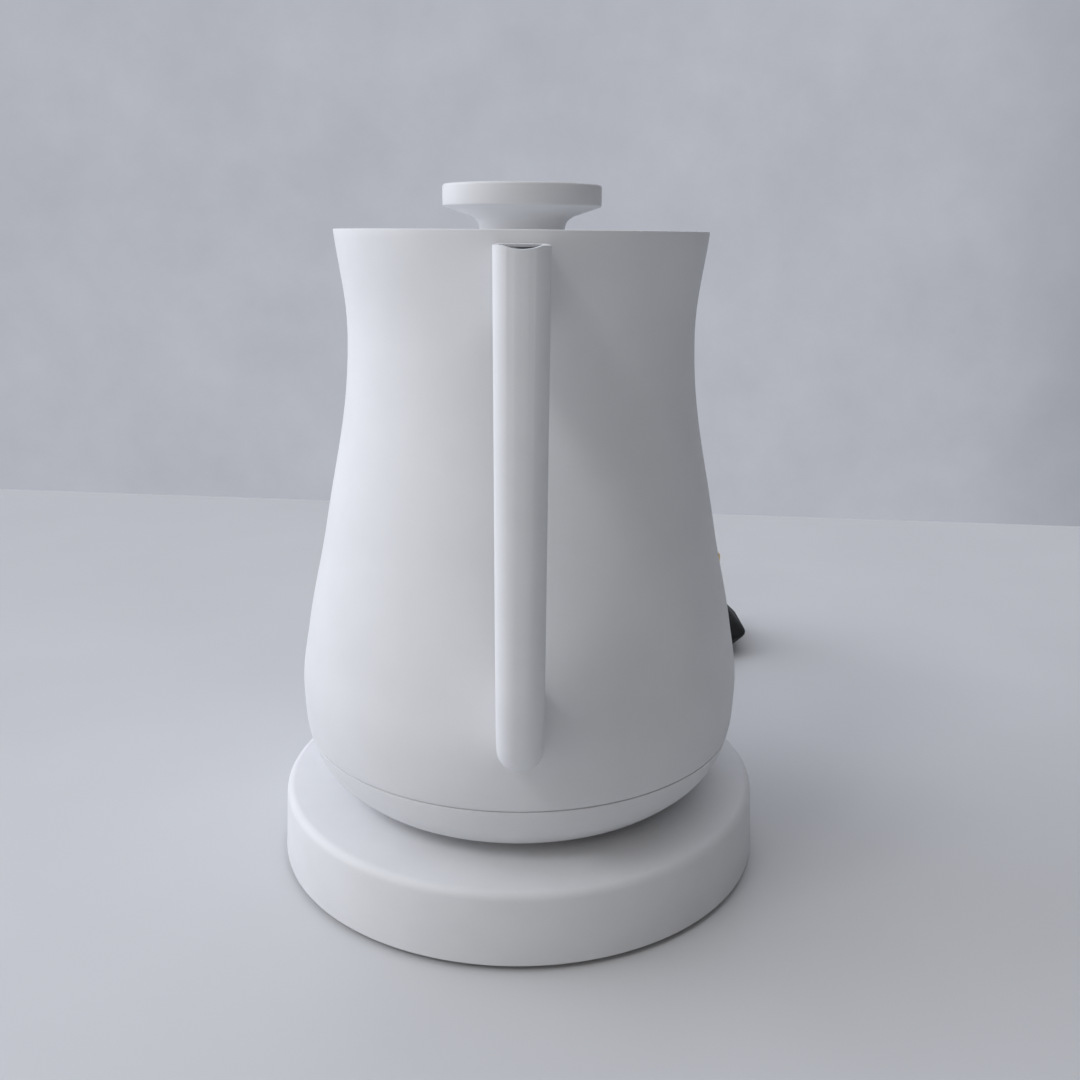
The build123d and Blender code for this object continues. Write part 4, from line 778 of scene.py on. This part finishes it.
LIP_AT, LIP_TILT = (0, 152.47, 173.39), radians(25)
REACHES = [(9, 9), (9, LOW_REACH), (LOW_REACH, 12), (12, HIGH_REACH), (HIGH_REACH, 6), (6, 6)]
bpy.ops.object.select_all(action="DESELECT")
bpy.ops.curve.primitive_bezier_curve_add(location=(0, 0, 0))
spout = bpy.context.object
spout.name = "spout_tube"
spout.data.dimensions = "3D"
spout.data.bevel_depth = MM
spout.data.bevel_resolution = 14
spout.data.resolution_u = 14
line = spout.data.splines[0]
line.radius_interpolation = "CARDINAL"
line.bezier_points.add(len(SPOUT_KNOTS) - 2)
for knot, (y, z, radius), run, (back, on) in zip(line.bezier_points, SPOUT_KNOTS, SPOUT_RUNS, REACHES):
    knot.handle_left_type = knot.handle_right_type = "FREE"
    knot.co = Vector((0, y, z)) * MM
    knot.handle_left = knot.co - run * back * MM
    knot.handle_right = knot.co + run * on * MM
    knot.radius = radius
bpy.ops.object.convert(target="MESH")
bpy.ops.object.mode_set(mode="EDIT")
bpy.ops.mesh.select_all(action="SELECT")
bpy.ops.mesh.remove_doubles(threshold=0.005 * MM)
bpy.ops.mesh.normals_make_consistent(inside=False)
bpy.ops.object.mode_set(mode="OBJECT")
saw(spout, LIP_AT, (0, cos(LIP_TILT), sin(LIP_TILT)))
thicken(spout, WALL)
round_edges(spout, 0.25, 3)
work(spout, "DIFFERENCE", copy_of(body_core, "core"))
fit(spout, "kettle", "white_coat", white_coat, "spout")


# ---- handle -------------------------------------------------------------------
# Two white mouldings: a hollow shell with a round nose, a flat top and a shallow thumb dish,
# and a strip on the palm side. Two screws through the strip hold both to welded tabs.
HALF_WIDE, CAVITY_HALF, HANDLE_WALL = 5.4, 3.2, 2.2
HANDLE_TOP, HEEL_LOW, PALM_LOW = 176.0, 50.5, 74.0
NOSE_ROUND, PALM_ROUND = 4.9, 3.4
OUTER_SIDE = [
    (-104.0, HANDLE_TOP, 0), (-90.0, 78.0, 42), (-81.0, 60.0, 15), (-52.0, HEEL_LOW, 0), (-40.0, HEEL_LOW, 0),
]
PALM_SIDE = [(-50.0, PALM_LOW, 0), (-64.5, 75.0, 8), (-73.2, 86.0, 14), (-84.5, 158.0, 10)]


def slab(name, corners, half):
    """Flat slab across X from (y, z, rounding) corners in mm."""
    bpy.ops.object.select_all(action="DESELECT")
    bpy.ops.curve.primitive_bezier_curve_add(location=(0, 0, 0))
    piece = bpy.context.object
    piece.name = name
    piece.data.dimensions = "3D"
    spline = piece.data.splines[0]
    spline.bezier_points.add(len(corners) - 2)
    for knot, (y, z, _) in zip(spline.bezier_points, corners):
        knot.co = Vector((-half, y, z)) * MM
        knot.handle_left_type = knot.handle_right_type = "VECTOR"
    spline.use_cyclic_u = True
    piece.data.resolution_u = 1
    bpy.ops.object.convert(target="MESH")
    bpy.ops.object.mode_set(mode="EDIT")
    bpy.ops.mesh.select_all(action="SELECT")
    bpy.ops.mesh.edge_face_add()
    bpy.ops.mesh.select_mode(type="VERT")
    for i, (y, z, rounding) in enumerate(corners):
        if rounding:
            here = Vector((y, z))
            back = here - Vector(corners[i - 1][:2])
            on = Vector(corners[(i + 1) % len(corners)][:2]) - here
            bpy.ops.mesh.select_all(action="DESELECT")
            mesh = bmesh.from_edit_mesh(piece.data)
            nearest = min(mesh.verts, key=lambda v: (v.co.yz - here * MM).length)
            nearest.select_set(True)
            bmesh.update_edit_mesh(piece.data)
            run = rounding * tan(back.angle(on) / 2)
            bpy.ops.mesh.bevel(offset=run * MM, offset_type="OFFSET", segments=12, affect="VERTICES")
    bpy.ops.mesh.select_all(action="SELECT")
    bpy.ops.mesh.extrude_region_move(TRANSFORM_OT_translate={"value": (2 * half * MM, 0, 0)})
    bpy.ops.mesh.select_all(action="SELECT")
    bpy.ops.mesh.normals_make_consistent(inside=False)
    bpy.ops.object.mode_set(mode="OBJECT")
    return piece


def grow_sides(piece, by):
    """Move the walls of a slab outwards by a distance in mm, and leave its flat faces."""
    pick(piece)
    bpy.ops.object.mode_set(mode="EDIT")
    bpy.ops.mesh.select_mode(type="FACE")
    bpy.ops.mesh.select_all(action="DESELECT")
    mesh = bmesh.from_edit_mesh(piece.data)
    for face in mesh.faces:
        face.select_set(abs(face.normal.x) < 0.5)
    bmesh.update_edit_mesh(piece.data)
    bpy.ops.transform.shrink_fatten(value=by * MM, use_even_offset=True)
    bpy.ops.object.mode_set(mode="OBJECT")
    return piece


def on_side(a, b):
    """True for an edge along the handle's left or right face."""
    return abs(abs(a.x) - HALF_WIDE) < 0.01 and abs(a.x - b.x) < 0.01


def outside(point):
    """True on the handle's outer line, False on its palm line."""
    return point.z < PALM_LOW - 0.5 or point.y < (HANDLE_TOP - point.z) / 7 - 95


def palm_gap(name, by):
    """The room between palm side and body as a slab, grown by a distance in mm."""
    return grow_sides(slab(name, [(-20.0, 158.0, 0), (-20.0, PALM_LOW, 0)] + PALM_SIDE, 20), by)


HANDLE_LINE = OUTER_SIDE + [(-40.0, PALM_LOW, 0)] + PALM_SIDE + [(-40.0, 158.0, 0), (-40.0, HANDLE_TOP, 0)]
handle = slab("handle_shell_moulding", HANDLE_LINE, HALF_WIDE)
cavity = grow_sides(slab("cavity", HANDLE_LINE, CAVITY_HALF), -HANDLE_WALL)
mark_edges(handle, lambda a, b: on_side(a, b) and outside(a) and outside(b) and min(a.y, b.y) < -45)
round_marked(NOSE_ROUND, 10)
mark_edges(handle, lambda a, b: (
    on_side(a, b) and not outside(a) and not outside(b) and max(a.z, b.z) < HANDLE_TOP - 1 and a.y < -40.5
))
round_marked(PALM_ROUND, 8)
work(handle, "DIFFERENCE", copy_of(body_core, "core"))
strip = copy_of(handle, "handle_palm_strip")
work(strip, "INTERSECT", palm_gap("strip_side", 3.0))
work(handle, "DIFFERENCE", palm_gap("shell_side", 3.12))
work(cavity, "DIFFERENCE", palm_gap("inner_side", 2.9))
work(handle, "DIFFERENCE", cavity, block((-4.1, -97.5, 160.0), (4.1, -40.0, 174.4)))


ROCKER_Y, ROCKER_LONG, ROCKER_WIDE, ROCKER_GAP = -84.0, 20.0, 8.0, 0.9
DISH_R, DISH_DEPTH = 10.4, 0.7
DISH_Z = HANDLE_TOP + DISH_R - DISH_DEPTH


def stadium(name, long, wide, low, high):
    """Upright block with half-round ends round the rocker's place."""
    piece = block((-wide / 2, ROCKER_Y - long / 2, low), (wide / 2, ROCKER_Y + long / 2, high))
    piece.name = name
    mark_edges(piece, lambda a, b: abs(a.z - b.z) > 0.5)
    round_marked(wide / 2 - 0.02, 12)
    return piece


work(handle, "DIFFERENCE", stadium(
    "opening", ROCKER_LONG + ROCKER_GAP, ROCKER_WIDE + ROCKER_GAP, HANDLE_TOP - 4, HANDLE_TOP + 2,
))
work(handle, "DIFFERENCE", rod((0, -106, DISH_Z), (0, -90, DISH_Z), DISH_R, 192))
round_edges(handle, 0.22, 3, 50)
HANDLE_SCREW_R = 2.25
for y, low, high in ((-63.0, 150.0, 159.4), (-68.0, 74.2, 90.0)):
    work(strip, "DIFFERENCE", rod((0, y, low), (0, y, high), HANDLE_SCREW_R, 32))
round_edges(strip, 0.2, 3, 50)
fit(handle, "kettle", "white_plastic", white_plastic, "handle_shell")
fit(strip, "kettle", "white_plastic", white_plastic, "handle_cover")
finish_nodes(screw_steel, "handle_screws")
finish_nodes(rolled_steel, "upper_bracket", "lower_bracket", "steam_bimetal")


# ---- thumb switch -------------------------------------------------------------
# Smoked gloss rocker on a steel pin, set almost flush in the handle's flat top.
# Below it lie the black housing, a brass contact blade and a small glass lamp.
CROWN_R = 110.0
ROCKER_TOP = HANDLE_TOP + 0.1
PIN_Z, PIN_HOLE_R = 173.3, 0.66
rocker = stadium("rocker_cap", ROCKER_LONG, ROCKER_WIDE, 174.9, ROCKER_TOP + 0.4)
axis_z = ROCKER_TOP - CROWN_R
work(rocker, "INTERSECT", rod((-9, ROCKER_Y, axis_z), (9, ROCKER_Y, axis_z), CROWN_R, 384))
round_edges(rocker, 0.3, 4, 50)
work(
    rocker, "UNION",
    block((-1.8, ROCKER_Y - 2.2, 171.9), (1.8, ROCKER_Y + 2.2, 175.2)),
    block((-1.2, ROCKER_Y - 6.0, 171.0), (1.2, ROCKER_Y + 6.0, 172.0)),
)
work(rocker, "DIFFERENCE", rod((-9, ROCKER_Y, PIN_Z), (9, ROCKER_Y, PIN_Z), PIN_HOLE_R, 32))
smoked, tree, shader, place = coloured("smoked gloss plastic", Coat_Weight=0.4, Coat_Roughness=0.08)
tint(tree, shader, speckle(tree, place, 3), (0.018, 0.018, 0.019), (0.030, 0.030, 0.032))
sheen_range(tree, shader, speckle(tree, place, 2), 0.16, 0.26)
fit(rocker, "rocker", "smoked_plastic", smoked, "switch_rocker")
finish_nodes(black_plastic, "switch_housing")
finish_nodes(screw_steel, "rocker_pin")
finish_nodes(brass, "contact_blade")

lamp_glass, tree, shader, place = coloured("lamp glass", Transmission_Weight=0.8, IOR=1.5)
tint(tree, shader, speckle(tree, place, 2), (0.85, 0.45, 0.25), (0.95, 0.62, 0.40))
sheen_range(tree, shader, speckle(tree, place, 1), 0.05, 0.12)
finish_nodes(lamp_glass, "neon_lamp")


# ---- lid ----------------------------------------------------------------------
# Coated steel disc with a small steam vent, set a little below the rim. A pressed
# steel cup closes it from below, and a lipped silicone ring seals it in the wall.
LID_LOW, LID_TOP = 172.2, 173.2
VENT_Y, VENT_R, CUP_VENT_R = -32, 1.3, 2.3
KNOB_SCREW_R = 1.45
LID_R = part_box("lid_plate")[1].x / MM
lid_disc = turned("lid_disc", [(0, LID_LOW), (LID_R, LID_LOW), (LID_R, LID_TOP), (0, LID_TOP)], closed=False)
round_ring(lid_disc, LID_R, LID_TOP, 0.4, 4)
work(
    lid_disc, "DIFFERENCE",
    rod((0, VENT_Y, 170), (0, VENT_Y, 175), VENT_R, 32), rod((0, 0, 170), (0, 0, 175), KNOB_SCREW_R, 32),
)
fit(lid_disc, "lid", "white_coat", white_coat, "lid_plate")

CUP_R, CUP_WALL = 42.0, 0.6
CUP_INNER_R = CUP_R - CUP_WALL
CUP_LOW, CUP_FLOOR, CUP_TOP = 163.0, 163.6, 172.15
lid_cup = turned("lid_liner", [
    (0, CUP_LOW), (CUP_R, CUP_LOW), (CUP_R, CUP_TOP),
    (CUP_INNER_R, CUP_TOP), (CUP_INNER_R, CUP_FLOOR), (0, CUP_FLOOR),
], closed=False)
round_ring(lid_cup, CUP_R, CUP_LOW, 2.0, 6)
round_ring(lid_cup, CUP_INNER_R, CUP_FLOOR, 1.4, 5)
work(lid_cup, "DIFFERENCE", rod((0, VENT_Y, 160), (0, VENT_Y, 165), CUP_VENT_R, 32))
turned_steel, tree, shader, place = coloured("spun steel", metallic=1.0)
rings = tree.nodes.new("ShaderNodeTexWave")
rings.wave_type = "RINGS"
rings.rings_direction = "Z"
rings.inputs["Scale"].default_value = 350
rings.inputs["Distortion"].default_value = 1.5
rings.inputs["Detail"].default_value = 3
tree.links.new(place, rings.inputs["Vector"])
tint(tree, shader, speckle(tree, place, 7), (0.56, 0.56, 0.565), (0.67, 0.67, 0.675))
sheen_range(tree, shader, rings.outputs["Fac"], 0.20, 0.30)
relief(tree, shader, rings.outputs["Fac"], 0.006, 0.4)
fit(lid_cup, "lid", "steel", turned_steel, "lid_cup")

SEAL_LOW = 169.75
SEAL_IN_R, SEAL_BODY_R = CUP_R + 0.05, CUP_R + 2.25
SEAL_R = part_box("lid_gasket")[1].x / MM
lid_seal = turned("lid_seal", [
    (SEAL_IN_R, SEAL_LOW), (SEAL_BODY_R, SEAL_LOW), (SEAL_R, SEAL_LOW + 0.1), (SEAL_R, SEAL_LOW + 0.7),
    (SEAL_R - 1.6, SEAL_LOW + 0.9), (SEAL_R, SEAL_LOW + 1.5), (SEAL_R, SEAL_LOW + 2.1),
    (SEAL_BODY_R, CUP_TOP), (SEAL_IN_R, CUP_TOP),
])
round_edges(lid_seal, 0.12, 2)
fit(lid_seal, "lid", "silicone", silicone, "lid_gasket")


# ---- lid knob -----------------------------------------------------------------
# White moulded disc on a trumpet-shaped neck, with a thin washer under its foot.
# One steel screw from inside the cup holds it to the lid.
KNOB_R, KNOB_TOP, KNOB_RIM_LOW = 21.2, 190.7, 185.2
NECK_R, NECK_LOW = 11.3, 173.8
knob = turned("knob_disc", [
    (0, NECK_LOW), (NECK_R, NECK_LOW), (NECK_R, 177.8, "soft"), (11.5, 179.8, "soft"), (12.3, 181.6, "soft"),
    (14.0, 182.8), (KNOB_R, KNOB_RIM_LOW), (KNOB_R, KNOB_TOP), (0, KNOB_TOP),
], closed=False, steps=128)
round_ring(knob, KNOB_R, KNOB_TOP, 0.7, 5)
round_ring(knob, KNOB_R, KNOB_RIM_LOW, 0.3, 3)
work(knob, "DIFFERENCE", rod((0, 0, 172), (0, 0, 183.8), KNOB_SCREW_R, 24))
fit(knob, "lid", "white_plastic", white_plastic, "lid_knob")
finish_nodes(screw_steel, "knob_screw")
bpy.data.objects.remove(body_core)
